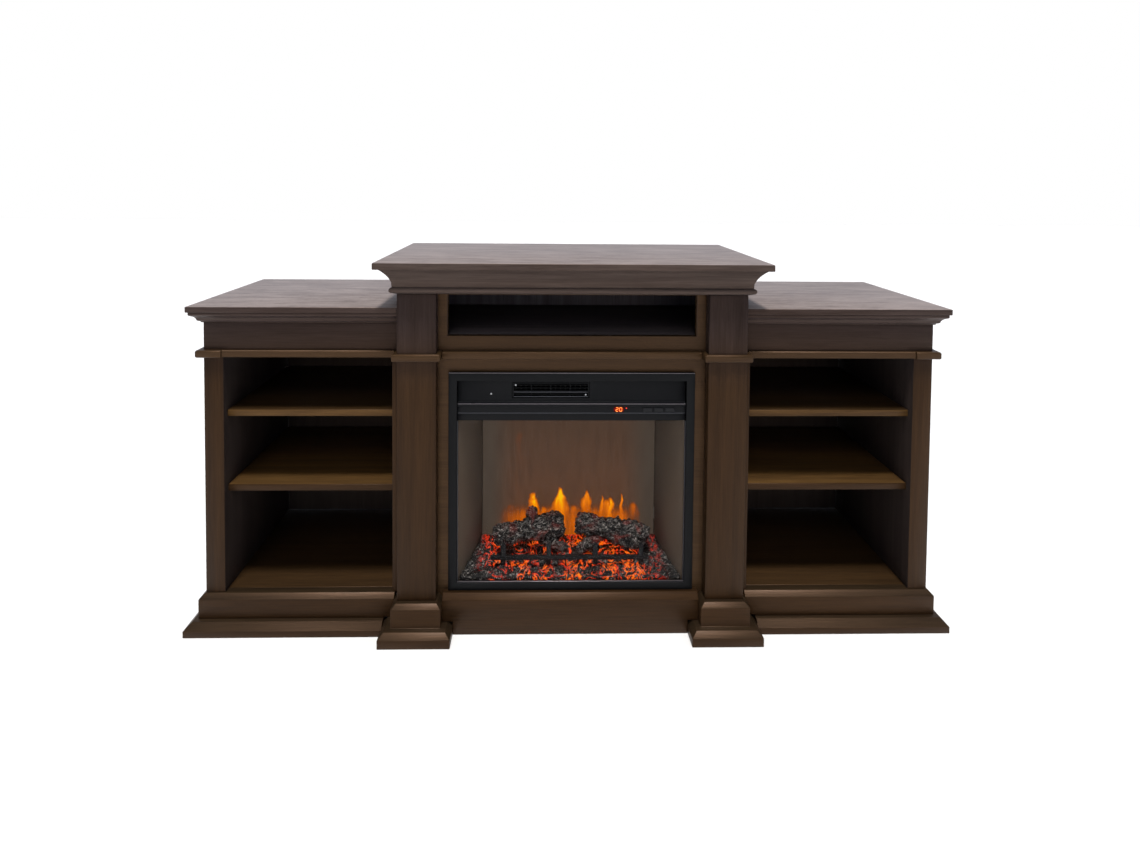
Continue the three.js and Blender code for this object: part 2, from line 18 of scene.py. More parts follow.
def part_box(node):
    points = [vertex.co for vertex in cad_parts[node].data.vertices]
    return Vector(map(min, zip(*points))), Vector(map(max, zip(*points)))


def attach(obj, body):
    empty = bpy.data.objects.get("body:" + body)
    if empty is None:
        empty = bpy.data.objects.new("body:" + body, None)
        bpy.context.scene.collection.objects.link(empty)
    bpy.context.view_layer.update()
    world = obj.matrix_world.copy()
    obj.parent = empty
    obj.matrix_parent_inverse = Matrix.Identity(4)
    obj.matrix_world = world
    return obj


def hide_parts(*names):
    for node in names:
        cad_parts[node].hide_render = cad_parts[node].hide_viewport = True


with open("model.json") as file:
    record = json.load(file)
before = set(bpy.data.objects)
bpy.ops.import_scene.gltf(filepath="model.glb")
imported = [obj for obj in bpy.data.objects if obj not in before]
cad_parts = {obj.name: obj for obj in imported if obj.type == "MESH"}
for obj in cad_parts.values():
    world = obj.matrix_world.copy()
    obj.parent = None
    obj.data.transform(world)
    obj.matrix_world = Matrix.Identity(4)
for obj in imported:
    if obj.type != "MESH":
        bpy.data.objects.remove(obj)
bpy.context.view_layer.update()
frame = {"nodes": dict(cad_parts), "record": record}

scene = bpy.context.scene
nodes = frame["nodes"]
bodies = frame["record"]["behaviour"]["bodies"]
body_of = {name: body for body, members in bodies.items() for name in members}

# %% [markdown]
# ## Camera
#
# A person stands a little left of the middle, about two metres from the wall, and holds the camera
# at chest height with a wide lens. The lens is shifted down so that the uprights stay upright.

# %% Camera
CAMERA_PLACE = (-0.0771, -1.7172, 1.0865)
CAMERA_TURN = {"yaw": -1.19, "pitch": -2.013, "roll": 0.452}
LENS = 20.57
SENSOR = 36.0
SHIFT = (0.0132, -0.1963)

camera_data = bpy.data.cameras.new("camera")
camera_data.lens = LENS
camera_data.sensor_width = SENSOR
camera_data.shift_x, camera_data.shift_y = SHIFT
camera = bpy.data.objects.new("camera", camera_data)
scene.collection.objects.link(camera)
camera.matrix_world = (
    Matrix.Translation(CAMERA_PLACE)
    @ Matrix.Rotation(math.radians(CAMERA_TURN["yaw"]), 4, "Z")
    @ Matrix.Rotation(math.radians(90 + CAMERA_TURN["pitch"]), 4, "X")
    @ Matrix.Rotation(math.radians(CAMERA_TURN["roll"]), 4, "Z")
)
scene.camera = camera
print("camera", tuple(round(v, 3) for v in camera.location))

# %% [markdown]
# ## Helpers for colours, nodes and meshes
#
# Colours are written as the hex values that a screen shows, and one function turns them to linear
# light. One function adds a shader node. The mesh helpers select one object or some of its faces
# first, because an edit-mode operator acts on everything that is selected.


# %% Colour and node helpers
def linear(code):
    """A hex colour such as 4b382f as linear RGBA."""
    channels = [int(code[i:i + 2], 16) / 255 for i in (0, 2, 4)]
    curve = [c / 12.92 if c <= 0.04045 else ((c + 0.055) / 1.055) ** 2.4 for c in channels]
    return (*curve, 1.0)


def put(tree, kind, inputs=None, **settings):
    """Adds a shader node. inputs maps a socket to a value, an output or a node."""
    made = tree.nodes.new(f"ShaderNode{kind}")
    for name, value in settings.items():
        setattr(made, name, value)
    for socket, value in (inputs or {}).items():
        if isinstance(value, bpy.types.Node):
            value = value.outputs[0]
        if isinstance(value, bpy.types.NodeSocket):
            tree.links.new(value, made.inputs[socket])
        else:
            made.inputs[socket].default_value = value
    return made


def new_material(name, **surface):
    """A material with its node tree and its surface shader, whose sockets are set by keyword."""
    material = bpy.data.materials.new(name)
    material.use_nodes = True
    tree = material.node_tree
    shader = tree.nodes["Principled BSDF"]
    for socket, value in surface.items():
        shader.inputs[socket.replace("_", " ")].default_value = value
    return material, tree, shader


EASED_STEP = {"interpolation_type": "SMOOTHSTEP"}


def feed(tree, shader, **outputs):
    """Links outputs to the shader's sockets named by keyword. A fed glow is shown as it is."""
    for socket, output in outputs.items():
        tree.links.new(output, shader.inputs[socket.replace("_", " ")])
    if "Emission_Color" in outputs:
        shader.inputs["Emission Strength"].default_value = 1.0


# %% Mesh helpers
MERGE_WITHIN = 1e-5
SMOOTH_UNDER = math.radians(35)
COPLANAR_UNDER = math.radians(1)


def select_only(piece):
    """Makes one object the only selected and active one."""
    if bpy.context.object and bpy.context.object.mode != "OBJECT":
        bpy.ops.object.mode_set(mode="OBJECT")
    bpy.ops.object.select_all(action="DESELECT")
    bpy.context.view_layer.objects.active = piece
    piece.select_set(True)


def pick_faces(piece, wanted):
    """In edit mode, selects the faces for which wanted(centre, normal) is true."""
    bpy.ops.object.mode_set(mode="OBJECT")
    for edge in piece.data.edges:
        edge.select = False
    for vertex in piece.data.vertices:
        vertex.select = False
    for face in piece.data.polygons:
        face.select = bool(wanted(face.center, face.normal))
    bpy.ops.object.mode_set(mode="EDIT")
    bpy.ops.mesh.select_mode(type="FACE")


def soften(piece, width, segments=2, sharpness=32.0):
    """Rounds every sharp edge by a small width, then shades the rest smooth."""
    select_only(piece)
    bpy.ops.object.mode_set(mode="EDIT")
    bpy.ops.mesh.select_all(action="DESELECT")
    bpy.ops.mesh.select_mode(type="EDGE")
    bpy.ops.mesh.edges_select_sharp(sharpness=math.radians(sharpness))
    bpy.ops.mesh.bevel(offset=width, segments=segments, affect="EDGES", clamp_overlap=True)
    bpy.ops.object.mode_set(mode="OBJECT")
    bpy.ops.object.shade_smooth_by_angle(angle=SMOOTH_UNDER)
    return piece


def settle(piece):
    """Puts an object's place, turn and size into its mesh."""
    select_only(piece)
    bpy.ops.object.transform_apply(location=True, rotation=True, scale=True)
    return piece


def copy_of(node, name):
    """A merged copy of a CAD node's mesh, as a new object that can be worked on."""
    piece = bpy.data.objects.new(name, nodes[node].data.copy())
    piece.data.name = name
    piece.data.materials.clear()
    scene.collection.objects.link(piece)
    select_only(piece)
    bpy.ops.object.mode_set(mode="EDIT")
    bpy.ops.mesh.select_all(action="SELECT")
    bpy.ops.mesh.remove_doubles(threshold=MERGE_WITHIN)
    bpy.ops.mesh.dissolve_limited(angle_limit=COPLANAR_UNDER)
    bpy.ops.object.mode_set(mode="OBJECT")
    return piece


def stands_for(piece, node, *materials):
    """The piece takes a CAD node's place: its body and its finish."""
    for material in materials:
        piece.data.materials.append(material)
    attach(piece, body_of[node])
    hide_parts(node)
    return piece


def fitted(piece, node, material):
    """A small extra piece that rides with a CAD node's body, in a finish of its own."""
    piece.data.materials.append(material)
    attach(piece, body_of[node])
    return piece


# %% [markdown]
# ## Room: floor, light and air
#
# A pale floor and a soft light overhead, as in a showroom with a lit ceiling. Its rays come down a
# little from the front, so tops are bright, faces are dark, and each shelf keeps the light off all
# but the front strip of the one below. A weaker lamp further in front reaches deeper into the bays,
# and a faint one from a window far away reaches their backs. The air is dim in front and bright
# behind, like a lit wall, so the lacquered tops catch a pale gleam at a low angle. The camera sees
# it as plain white.

# %% Floor and lights
FLOOR_SIDE = 30
bpy.ops.mesh.primitive_plane_add(size=FLOOR_SIDE, location=(0, 0, 0))
floor = bpy.context.object
floor.name = "floor"
floor_finish, _, _ = new_material("pale_floor", Base_Color=linear("f5f4f3"), Roughness=0.9)
floor.data.materials.append(floor_finish)

SUNS = {
    "ceiling": {"turn": (17, 0, 0), "energy": 3.0, "angle": 9},
    "front_lamp": {"turn": (50, 0, -8), "energy": 0.26, "angle": 16},
    "far_window": {"turn": (80, 0, 4), "energy": 0.14, "angle": 25},
}
for name, lamp in SUNS.items():
    sun_data = bpy.data.lights.new(name, "SUN")
    sun_data.energy = lamp["energy"]
    sun_data.angle = math.radians(lamp["angle"])
    sun_data.color = linear("fffdfa")[:3]
    sun = bpy.data.objects.new(name, sun_data)
    sun.rotation_euler = [math.radians(turn) for turn in lamp["turn"]]
    scene.collection.objects.link(sun)

FRONT_FILL = 0.41
BACK_FILL = 0.72
BRIGHT_FROM = 0.8
world = bpy.data.worlds.new("room")
scene.world = world
world.use_nodes = True
air = world.node_tree
ray = put(air, "LightPath")
fill = air.nodes["Background"]
fill.inputs["Color"].default_value = linear("dfe6f6")
way_out = put(air, "TexCoord").outputs["Generated"]
heading = put(air, "SeparateXYZ", {0: way_out})
strength = put(air, "MapRange", {
    "Value": heading.outputs["Y"], "From Min": 0.0, "From Max": BRIGHT_FROM,
    "To Min": FRONT_FILL, "To Max": BACK_FILL,
})
air.links.new(strength.outputs[0], fill.inputs["Strength"])
white = put(air, "Background", {"Color": (1, 1, 1, 1), "Strength": 1.0})
seen = put(air, "MixShader", {
    0: ray.outputs["Is Camera Ray"], 1: fill, 2: white,
})
air.links.new(seen.outputs[0], air.nodes["World Output"].inputs["Surface"])
scene.view_settings.view_transform = "Standard"

# %% [markdown]
# ## Walnut
#
# The boards are veneered or solid walnut with a dark stain under a satin lacquer. Walnut has long
# wavy figure, short dark pores along the grain, and the stain takes unevenly, so the colour drifts
# from board to board. The lacquer gives a soft gloss. Grain runs along a board's length, so there
# is a finish for boards that lie along X, boards that stand along Z, and mouldings that return
# along Y. Pores are about 0.3 mm wide on the real board and are drawn ten times as coarse, so that
# they show. Each finish has one pair of tones for low down and one for high up: warm near the
# floor, and greyer and lighter towards the tops. That change is a painted reflection of a cool
# ceiling on the upper faces and painted light in the upper bays. Several finishes are lit and
# shaded copies of the same walnut: tops with a painted sheen, ledges and shelves in painted light,
# upper shelf tops in painted shade, bay linings in a dark stain darkened further as painted shade,
# the back panels in a painted bluish fill light, and the niche in painted fill light. Belts and
# ledges are glossier, because hands and dusters polish them, and the insides keep a duller,
# unpolished coat.

# %% Walnut finish
GRAIN = {
    "x": (1.0, 26.0, 26.0), "y": (26.0, 1.0, 26.0), "z": (26.0, 26.0, 1.0),
    "fleck": (5.0, 34.0, 26.0),
}
# Heights between which the painted light blends the low tones into the high tones.
PAINTED_LIGHT_FROM, PAINTED_LIGHT_TO = 0.58, 0.77


def walnut(name, low, high, grain="x", rough=0.42, coat=0.05, bump=0.25, specular=0.25):
    """Stained walnut. low and high are pairs of light and dark tones near the floor and near the
    top; the blend between them by height is painted light.
    """
    # The warm reflection tint, ffc8a2, is a painted reflection: it colours the lacquer's gleam as
    # if a warm room were mirrored in it.
    material, tree, shader = new_material(
        name, Coat_Weight=coat, Coat_Roughness=0.3, IOR=1.5,
        Specular_IOR_Level=specular, Specular_Tint=linear("ffc8a2"),
    )
    place = put(tree, "TexCoord").outputs["Object"]
    drift = put(tree, "TexNoise", {"Vector": place, "Scale": 2.2, "Detail": 2.0})
    along = put(tree, "Mapping", {"Vector": place, "Scale": GRAIN[grain]})
    figure = put(tree, "TexNoise", {
        "Vector": along, "Scale": 1.6, "Detail": 5.0, "Roughness": 0.55, "Distortion": 0.6,
    })
    pores = put(tree, "TexNoise", {
        "Vector": along, "Scale": 11.0, "Detail": 4.0, "Roughness": 0.7,
    })
    streaks = put(tree, "MapRange", {
        "Value": pores.outputs["Fac"], "From Min": 0.35, "From Max": 0.65,
    })
    waves = put(tree, "MapRange", {
        "Value": figure.outputs["Fac"], "From Min": 0.3, "From Max": 0.7,
    })
    both = put(tree, "Mix", {
        "Factor": 0.42, "A": waves, "B": streaks,
    }, data_type="FLOAT")
    stain = put(tree, "Mix", {
        "Factor": 0.3, "A": both, "B": drift.outputs["Fac"],
    }, data_type="FLOAT")
    tones = []
    for light, dark in (low, high):
        tone = put(tree, "ValToRGB", {"Fac": stain})
        tone.color_ramp.elements[0].position = 0.18
        tone.color_ramp.elements[0].color = linear(dark)
        tone.color_ramp.elements[1].position = 0.82
        tone.color_ramp.elements[1].color = linear(light)
        tones.append(tone.outputs["Color"])
    # Painted light: the colour blends from the low tones to the high tones with height. This is a
    # painted reflection of the cool ceiling on the upper faces and painted light in the upper bays.
    height = put(tree, "SeparateXYZ", {0: place})
    painted_light_by_height = put(tree, "MapRange", {
        "Value": height.outputs["Z"], "From Min": PAINTED_LIGHT_FROM, "From Max": PAINTED_LIGHT_TO,
    }, **EASED_STEP)
    colour = put(tree, "Mix", {
        "Factor": painted_light_by_height, "A": tones[0], "B": tones[1],
    }, data_type="RGBA")
    sheen = put(tree, "MapRange", {
        "Value": pores.outputs["Fac"], "To Min": rough - 0.07, "To Max": rough + 0.09,
    })
    relief = put(tree, "Bump", {
        "Height": streaks, "Strength": bump, "Distance": 0.0006,
    })
    feed(tree, shader, Base_Color=colour.outputs["Result"], Roughness=sheen.outputs[0],
         Normal=relief.outputs[0])
    return material


# Face tones: the high pair is greyer, a painted reflection of the cool ceiling on the upper faces.
FACES = (("352414", "1c1209"), ("332b2b", "1c1717"))
LOW_FACES = FACES[0]
BELTS = ("3f2e1c", "241a0f")
LEDGES = ("2f2418", "19130c")
# Shelves: a lighter tone, painted light for their lit front edges and lit tops. Shelf tops: a
# darker tone, painted shade where the frieze keeps the light off the upper shelves.
LIT_SHELVES = ("5c4324", "352514")
SHADED_SHELF_TOPS = ("3b2a17", "22180c")
BAY_FLOORS = ("3b2a18", "24190e")
# Bay insides: the linings are a dark stain, darkened further as painted shade. The niche and the
# back panels are lifted as painted fill light, the panels bluish, and all are lighter high up.
LINING = (("352e2c", "231f1e"), ("3c383c", "2a282b"))
NICHE = (("4a4444", "332f2f"), ("625b5e", "454042"))
PANEL = (("3b3634", "282524"), ("7c7a83", "5a585f"))

face_x = walnut("walnut_rails", *FACES, "x")
face_z = walnut("walnut_stiles", *FACES, "z")
face_y = walnut("walnut_returns", *FACES, "y")
belt_x = walnut("walnut_belts", BELTS, BELTS, "x", specular=0.4)
# Ledges: a tone for the upward faces of plinths and bases, matched to how they look under the
# overhead light, which is painted light.
lit_ledge_x = walnut("walnut_ledges_painted_light", LEDGES, LEDGES, "x", specular=0.36)
# Crown and cornice: low face tones, and lighter, greyer high tones, a painted reflection like the
# faces'.
crown_x = walnut("walnut_crown", LOW_FACES, ("544944", "2f2826"), "x")
cornice_x = walnut("walnut_cornice", LOW_FACES, ("433937", "261f1e"), "x")
# Tops: the light high tones are a painted sheen, the grazing gleam of the ceiling light on the
# lacquer.
sheen_top_x = walnut("walnut_tops_painted_sheen", LOW_FACES, ("9f918b", "5b4f4a"), "fleck", coat=0.15, specular=0.4)
lit_shelf_x = walnut("walnut_shelves_painted_light", LIT_SHELVES, LIT_SHELVES, "x")
shade_x = walnut("walnut_shelf_tops_painted_shade", SHADED_SHELF_TOPS, SHADED_SHELF_TOPS, "x")
floor_x = walnut("walnut_bay_floors", BAY_FLOORS, BAY_FLOORS, "x")
lit_inside_x = walnut("walnut_insides_painted_light", *NICHE, "x", rough=0.6, coat=0.0)
shaded_lining_z = walnut("walnut_linings_painted_shade", *LINING, "z", rough=0.6, coat=0.0)
fill_lit_panel_z = walnut("walnut_back_panels_painted_fill", *PANEL, "z", rough=0.6, coat=0.0, specular=0.5)
print("walnut finishes", sum(m.name.startswith("walnut") for m in bpy.data.materials))

# %% [markdown]
# ## Boards and mouldings
#
# Each board keeps the CAD shape, but no joiner leaves a knife-sharp arris: every edge is eased by
# about a millimetre, and that thin rounded edge is what catches the light. A merged copy of the CAD
# mesh is bevelled along its sharp edges and stands in for the node.

# %% Boards along the front
EASED = 0.0013


def board(node, *materials, width=EASED):
    return stands_for(soften(copy_of(node, f"{node}_board"), width), node, *materials)


for node in ("centre_top", "wing_top_left", "wing_top_right"):
    board(node, sheen_top_x, width=0.0016)
board("crown_moulding", crown_x)
board("centre_belt", belt_x, width=0.002)
board("centre_face_frame", belt_x, width=0.0018)
for node in ("apron", "media_shelf", "insert_floor"):
    board(node, face_x)
for node in ("centre_back", "wing_back_left", "wing_back_right"):
    board(node, shaded_lining_z, width=0.0006)

for side in ("left", "right"):
    board(f"wing_cornice_{side}", cornice_x)
    for part in ("wing_belt", "pilaster_band"):
        board(f"{part}_{side}", belt_x, width=0.002)
    for part in ("wing_frieze", "wing_plinth", "wing_base", "pilaster_plinth"):
        board(f"{part}_{side}", face_x)
    for part in ("pilaster", "centre_side", "wing_side_inner", "wing_side_outer"):
        board(f"{part}_{side}", face_z)
    board(f"wing_bottom_{side}", floor_x)
    for level in ("upper", "lower"):
        board(f"shelf_{level}_{side}", lit_shelf_x)

# %% Grain, linings, and painted light and shade by face
# A face counts as facing one way past FACING_WAY, and as facing a little that way past LEANING.
FACING_WAY = 0.7
LEANING = 0.3
RAIL_HALF = 0.3


def repaint(node, material, wanted):
    """Gives the faces of a board for which wanted(centre, normal) is true another finish."""
    piece = scene.objects[f"{node}_board"]
    piece.data.materials.append(material)
    index = len(piece.data.materials) - 1
    for face in piece.data.polygons:
        if wanted(face.center, face.normal):
            face.material_index = index


for side, sign in (("left", -1), ("right", 1)):
    # Bay side walls take the lining tone, painted shade, and the frieze's inner face the niche
    # tone, painted light.
    repaint(f"wing_side_outer_{side}", shaded_lining_z, lambda c, n, s=sign: n.x * s < -FACING_WAY)
    repaint(f"wing_side_inner_{side}", shaded_lining_z, lambda c, n, s=sign: n.x * s > FACING_WAY)
    repaint(f"wing_frieze_{side}", lit_inside_x, lambda c, n: n.y > FACING_WAY)
    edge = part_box(f"wing_side_outer_{side}")[1 if sign > 0 else 0].x * sign + 0.001
    for part in ("wing_cornice", "wing_belt", "wing_plinth", "wing_base"):
        repaint(f"{part}_{side}", face_y, lambda c, n, e=edge, s=sign: c.x * s > e)
    # Upward faces of plinths and bases take the ledge tone: painted light from the overhead light.
    for part in ("wing_plinth", "wing_base", "pilaster_plinth"):
        repaint(f"{part}_{side}", lit_ledge_x, lambda c, n: n.z > LEANING)
    # The tops' edges take the darker cornice tones, so only the top faces keep the painted sheen.
    repaint(f"wing_top_{side}", cornice_x, lambda c, n: n.z < 2 * LEANING)
    # The upper shelves keep the lit tone, a painted highlight, on their front edges and take
    # painted shade on their tops. The lower shelves keep painted light on their tops and the face
    # tone in front.
    repaint(f"shelf_lower_{side}", face_x, lambda c, n: n.y < -LEANING)
    repaint(f"shelf_upper_{side}", shade_x, lambda c, n: n.z > FACING_WAY)
# Back panels: faces towards the bays in the painted bluish fill, rear faces in the lining tone.
for node in ("centre_back", "wing_back_left", "wing_back_right"):
    repaint(node, fill_lit_panel_z, lambda c, n: n.y < -FACING_WAY)
    repaint(node, shaded_lining_z, lambda c, n: n.y > FACING_WAY)
repaint("media_shelf", lit_inside_x, lambda c, n: n.z > FACING_WAY)
# The centre top's edges take the crown tones; its top face keeps the painted sheen.
repaint("centre_top", crown_x, lambda c, n: n.z < 2 * LEANING)
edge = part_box("centre_side_right")[1].x
repaint("crown_moulding", face_y, lambda c, n: abs(c.x) > edge and abs(n.x) > LEANING)
repaint("centre_face_frame", face_z, lambda c, n: abs(c.x) > RAIL_HALF)

# %% [markdown]
# ## Black steel and black plastic
#
# The trim frame, the outlet grille and the casing are thin steel with a satin black powder coat: a
# fine orange-peel skin that spreads highlights. The control panel and its keys are moulded ABS with
# a fine spark texture, a little duller. The fire-box walls are enamelled warm grey, and its roof is
# sooty black enamel. The skin is drawn at 2 to 3 mm instead of its real 0.3 mm, so that it shows.

# %% Black finishes
def coated(name, colour, rough, grain_mm, depth_mm, metallic=0.0, specular=0.4):
    """A painted or moulded surface with an even skin of a given grain size."""
    material, tree, shader = new_material(
        name, Base_Color=linear(colour), Metallic=metallic, Specular_IOR_Level=specular,
    )
    place = put(tree, "TexCoord").outputs["Object"]
    skin = put(tree, "TexNoise", {"Vector": place, "Scale": 1000 / grain_mm, "Detail": 2.0})
    dust = put(tree, "TexNoise", {"Vector": place, "Scale": 9.0, "Detail": 3.0})
    gloss = put(tree, "MapRange", {
        "Value": dust.outputs["Fac"], "From Min": 0.3, "From Max": 0.7,
        "To Min": rough - 0.05, "To Max": rough + 0.07,
    })
    relief = put(tree, "Bump", {
        "Height": skin.outputs["Fac"], "Strength": 0.3, "Distance": depth_mm / 1000,
    })
    feed(tree, shader, Roughness=gloss.outputs[0], Normal=relief.outputs[0])
    return material


powder_coat = coated("powder_coated_steel", "0c0d0f", 0.45, 2.0, 0.25, specular=0.13)
black_abs = coated("moulded_black_abs", "0b0c0f", 0.5, 1.5, 0.15, specular=0.15)
key_abs = coated("moulded_key_abs", "121316", 0.42, 1.5, 0.1, specular=0.22)
liner = coated("warm_grey_enamel_liner", "62564a", 0.5, 3.0, 0.1, specular=0.15)
soot = coated("soot_black_enamel", "0a0908", 0.75, 3.0, 0.2, specular=0.1)

# %% Casing, trim frame, panel and keys
board("trim_frame", powder_coat, width=0.0012)
board("control_fascia", black_abs, width=0.0007)
board("outlet_grille", powder_coat, width=0.0003)
board("insert_casing", powder_coat, width=0.0003)
for node in ("power_button", "up_button", "down_button"):
    board(node, key_abs, width=0.0005)
board("cord_gland", black_abs, width=0.0006)

WALLS_HALF = 0.278
screen_low, screen_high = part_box("flame_screen")
chamber_top = screen_high.z


def is_wall(c, n):
    """A splayed wall of the fire box: beside the screen, in front of it, and facing forward."""
    beside = screen_high.x < abs(c.x) < WALLS_HALF and c.y < screen_low.y and c.z < chamber_top
    return beside and n.y < -0.05 and abs(n.z) < 0.5


repaint("insert_casing", liner, is_wall)
repaint("insert_casing", soot, lambda c, n: n.z < -FACING_WAY and abs(c.z - chamber_top) < 0.003)
print("chamber top", round(chamber_top, 3))

# %% [markdown]
# ## Bead under the glass
#
# A slim bead holds the glass at the bottom and, thinner, at the sides. It is rolled round and
# catches the light as one bright line across the frame. That line is a painted highlight: the
# bottom bead is coloured pale polished steel and the side beads a duller grey steel. A strip is
# added at its size, and its edges are bevelled to a round.

# %% Glass bead
trim_low, trim_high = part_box("trim_frame")
glass_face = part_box("glass_front")[0].y
WINDOW_HALF = 0.2757
WINDOW_SILL = trim_low.z + 0.0165
BEAD_TOP = WINDOW_SILL + 0.0024
BEAD_BACK = glass_face - 0.0004


def bar(name, low, high, ease, segments=3):
    """A bar between two corners, with every edge eased."""
    centre = (Vector(low) + Vector(high)) / 2
    size = Vector(high) - Vector(low)
    bpy.ops.mesh.primitive_cube_add(size=1, location=centre)
    piece = bpy.context.object
    piece.name = name
    piece.scale = size
    settle(piece)
    return soften(piece, ease, segments)


def another(piece, name, shift):
    """A second one of a piece, with its own mesh, moved along by shift."""
    made = bpy.data.objects.new(name, piece.data.copy())
    scene.collection.objects.link(made)
    made.location = shift
    return settle(made)


bead = bar("glass_bead", (-WINDOW_HALF, glass_face - 0.006, WINDOW_SILL),
           (WINDOW_HALF, BEAD_BACK, BEAD_TOP), 0.001)
# Painted highlights: pale metal colours for thin strips on the black frame and panel, standing in
# for the light that their edges catch. The duller one is for fainter edge lines.
highlight_metal = coated("painted_highlight_steel", "6c676a", 0.32, 2.0, 0.1, metallic=1.0)
dull_highlight_metal = coated("painted_dull_highlight_steel", "4a4b50", 0.4, 2.0, 0.1, metallic=0.6)
fitted(bead, "trim_frame", highlight_metal)
print("bead", [round(v, 4) for v in bead.dimensions])

# %% Painted highlights along the control strip and the frame
strip_low, strip_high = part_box("control_fascia")
STRIP_FACE = -0.1655
RAIL_FACE = strip_low.y
RAIL_TOP = 0.551
STRIP_FOOT = 0.5262
LINE_HALF = strip_high.x - 0.0012
SIDE_BEAD = 0.0018

# Thin pale-metal strips on the rail, the foot of the strip, the frame's top edge and the sides of
# the glass are painted highlights where these edges catch the light.
line = bar("rail_painted_highlight", (-LINE_HALF, RAIL_FACE - 0.0005, RAIL_TOP - 0.0018),
           (LINE_HALF, RAIL_FACE + 0.001, RAIL_TOP + 0.0003), 0.0006, 2)
fitted(line, "control_fascia", highlight_metal)
line = bar("strip_painted_highlight", (-LINE_HALF, STRIP_FACE - 0.0006, STRIP_FOOT),
           (LINE_HALF, STRIP_FACE + 0.0006, STRIP_FOOT + 0.0014), 0.0004, 2)
fitted(line, "control_fascia", dull_highlight_metal)
line = bar("frame_top_painted_highlight", (trim_low.x + 0.001, trim_low.y - 0.0004, trim_high.z - 0.0016),
           (trim_high.x - 0.001, trim_low.y + 0.0012, trim_high.z + 0.0003), 0.0007, 2)
fitted(line, "trim_frame", highlight_metal)
side_bead = bar("glass_bead_left", (-WINDOW_HALF, glass_face - 0.004, BEAD_TOP),
                (-WINDOW_HALF + SIDE_BEAD, BEAD_BACK, strip_low.z), 0.0007, 2)
other_bead = another(side_bead, "glass_bead_right", (2 * WINDOW_HALF - SIDE_BEAD, 0, 0))
fitted(other_bead, "trim_frame", dull_highlight_metal)
fitted(side_bead, "trim_frame", dull_highlight_metal)

# %% Louvres of the outlet
grille_low, grille_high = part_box("outlet_grille")
LOUVRES = {"top": 0.597, "middle": 0.5755, "bottom": 0.5645}
LOUVRE_INSET = 0.004
first = bar("outlet_louvre_top",
            (grille_low.x + LOUVRE_INSET, grille_low.y - 0.0012, LOUVRES["top"] - 0.0013),
            (grille_high.x - LOUVRE_INSET, grille_low.y + 0.0008, LOUVRES["top"] + 0.0007),
            0.0005, 2)
# The lower two louvres take the duller pale metal, a painted highlight on their lips; the top one
# stays powder-coated.
for name in ("middle", "bottom"):
    louvre = another(first, f"outlet_louvre_{name}", (0, 0, LOUVRES[name] - LOUVRES["top"]))
    fitted(louvre, "outlet_grille", dull_highlight_metal)
fitted(first, "outlet_grille", powder_coat)
print("rail face", round(RAIL_FACE, 4), "grille face", round(grille_low.y, 4))

# %% [markdown]
# ## Screws
#
# Small zinc-plated pan-head screws hold the heater plate, the back panels and the casing. One is
# modelled: a low cylinder whose face is drawn in twice to a crown and then sunk to a recess, all by
# insets. The rest are copies, turned so that they face the way their panel does.

# %% Screw
SCREW_RADIUS = 0.0020
SCREW_TALL = 0.8 * SCREW_RADIUS
FACE_ON = 0.9


def screw_master(radius):
    """A screw head at the origin that faces up."""
    bpy.ops.mesh.primitive_cylinder_add(vertices=20, radius=radius, depth=SCREW_TALL)
    master = bpy.context.object
    pick_faces(master, lambda c, n: n.z > FACE_ON)
    bpy.ops.mesh.inset(thickness=radius * 0.3, depth=radius * 0.16)
    bpy.ops.mesh.inset(thickness=radius * 0.42, depth=0)
    bpy.ops.mesh.inset(thickness=radius * 0.04, depth=-radius * 0.35)
    bpy.ops.object.mode_set(mode="OBJECT")
    bpy.ops.object.shade_smooth_by_angle(angle=SMOOTH_UNDER)
    return master


zinc, _, _ = new_material(
    "zinc_plated_steel", Base_Color=linear("b4b6b8"), Metallic=1.0, Roughness=0.35,
)
screw = screw_master(SCREW_RADIUS)
FACING = {"front": math.radians(90), "back": math.radians(-90)}


def drive(name, node, place, facing):
    """A copy of the screw, with its own mesh, seated at a place and facing front or back."""
    piece = bpy.data.objects.new(name, screw.data.copy())
    scene.collection.objects.link(piece)
    piece.rotation_euler = (FACING[facing], 0, 0)
    piece.location = place
    settle(piece)
    return fitted(piece, node, zinc)


PLATE_FACE = -0.1585
GRILLE_SEAT = grille_low.y - 0.0008
drive("plate_screw", "control_fascia", (-0.195, PLATE_FACE, 0.5715), "front")
drive("grille_screw_right", "outlet_grille", (0.0335, GRILLE_SEAT, 0.5692), "front")
drive("grille_screw_left", "outlet_grille", (-0.136, GRILLE_SEAT, 0.5925), "front")
print("screw head", round(SCREW_TALL * 1000, 2), "mm tall")

# %% Screws in the backs
SEAT = 0.0003
CENTRE_COLUMNS = (-0.38, -0.19, 0.0, 0.19, 0.38)
SHARES = (0.04, 0.35, 0.65, 0.96)


def two_rows(prefix, node, columns, rows, seat):
    """Screws at every column of a low and a high row, in a panel whose back is at seat."""
    for index, x in enumerate(columns):
        for row, z in zip(("low", "high"), rows):
            drive(f"{prefix}_{row}_{index}", node, (x, seat + SEAT, z), "back")


def shared_out(low, high):
    """Columns at the same shares of any panel's width."""
    return [low.x + share * (high.x - low.x) for share in SHARES]


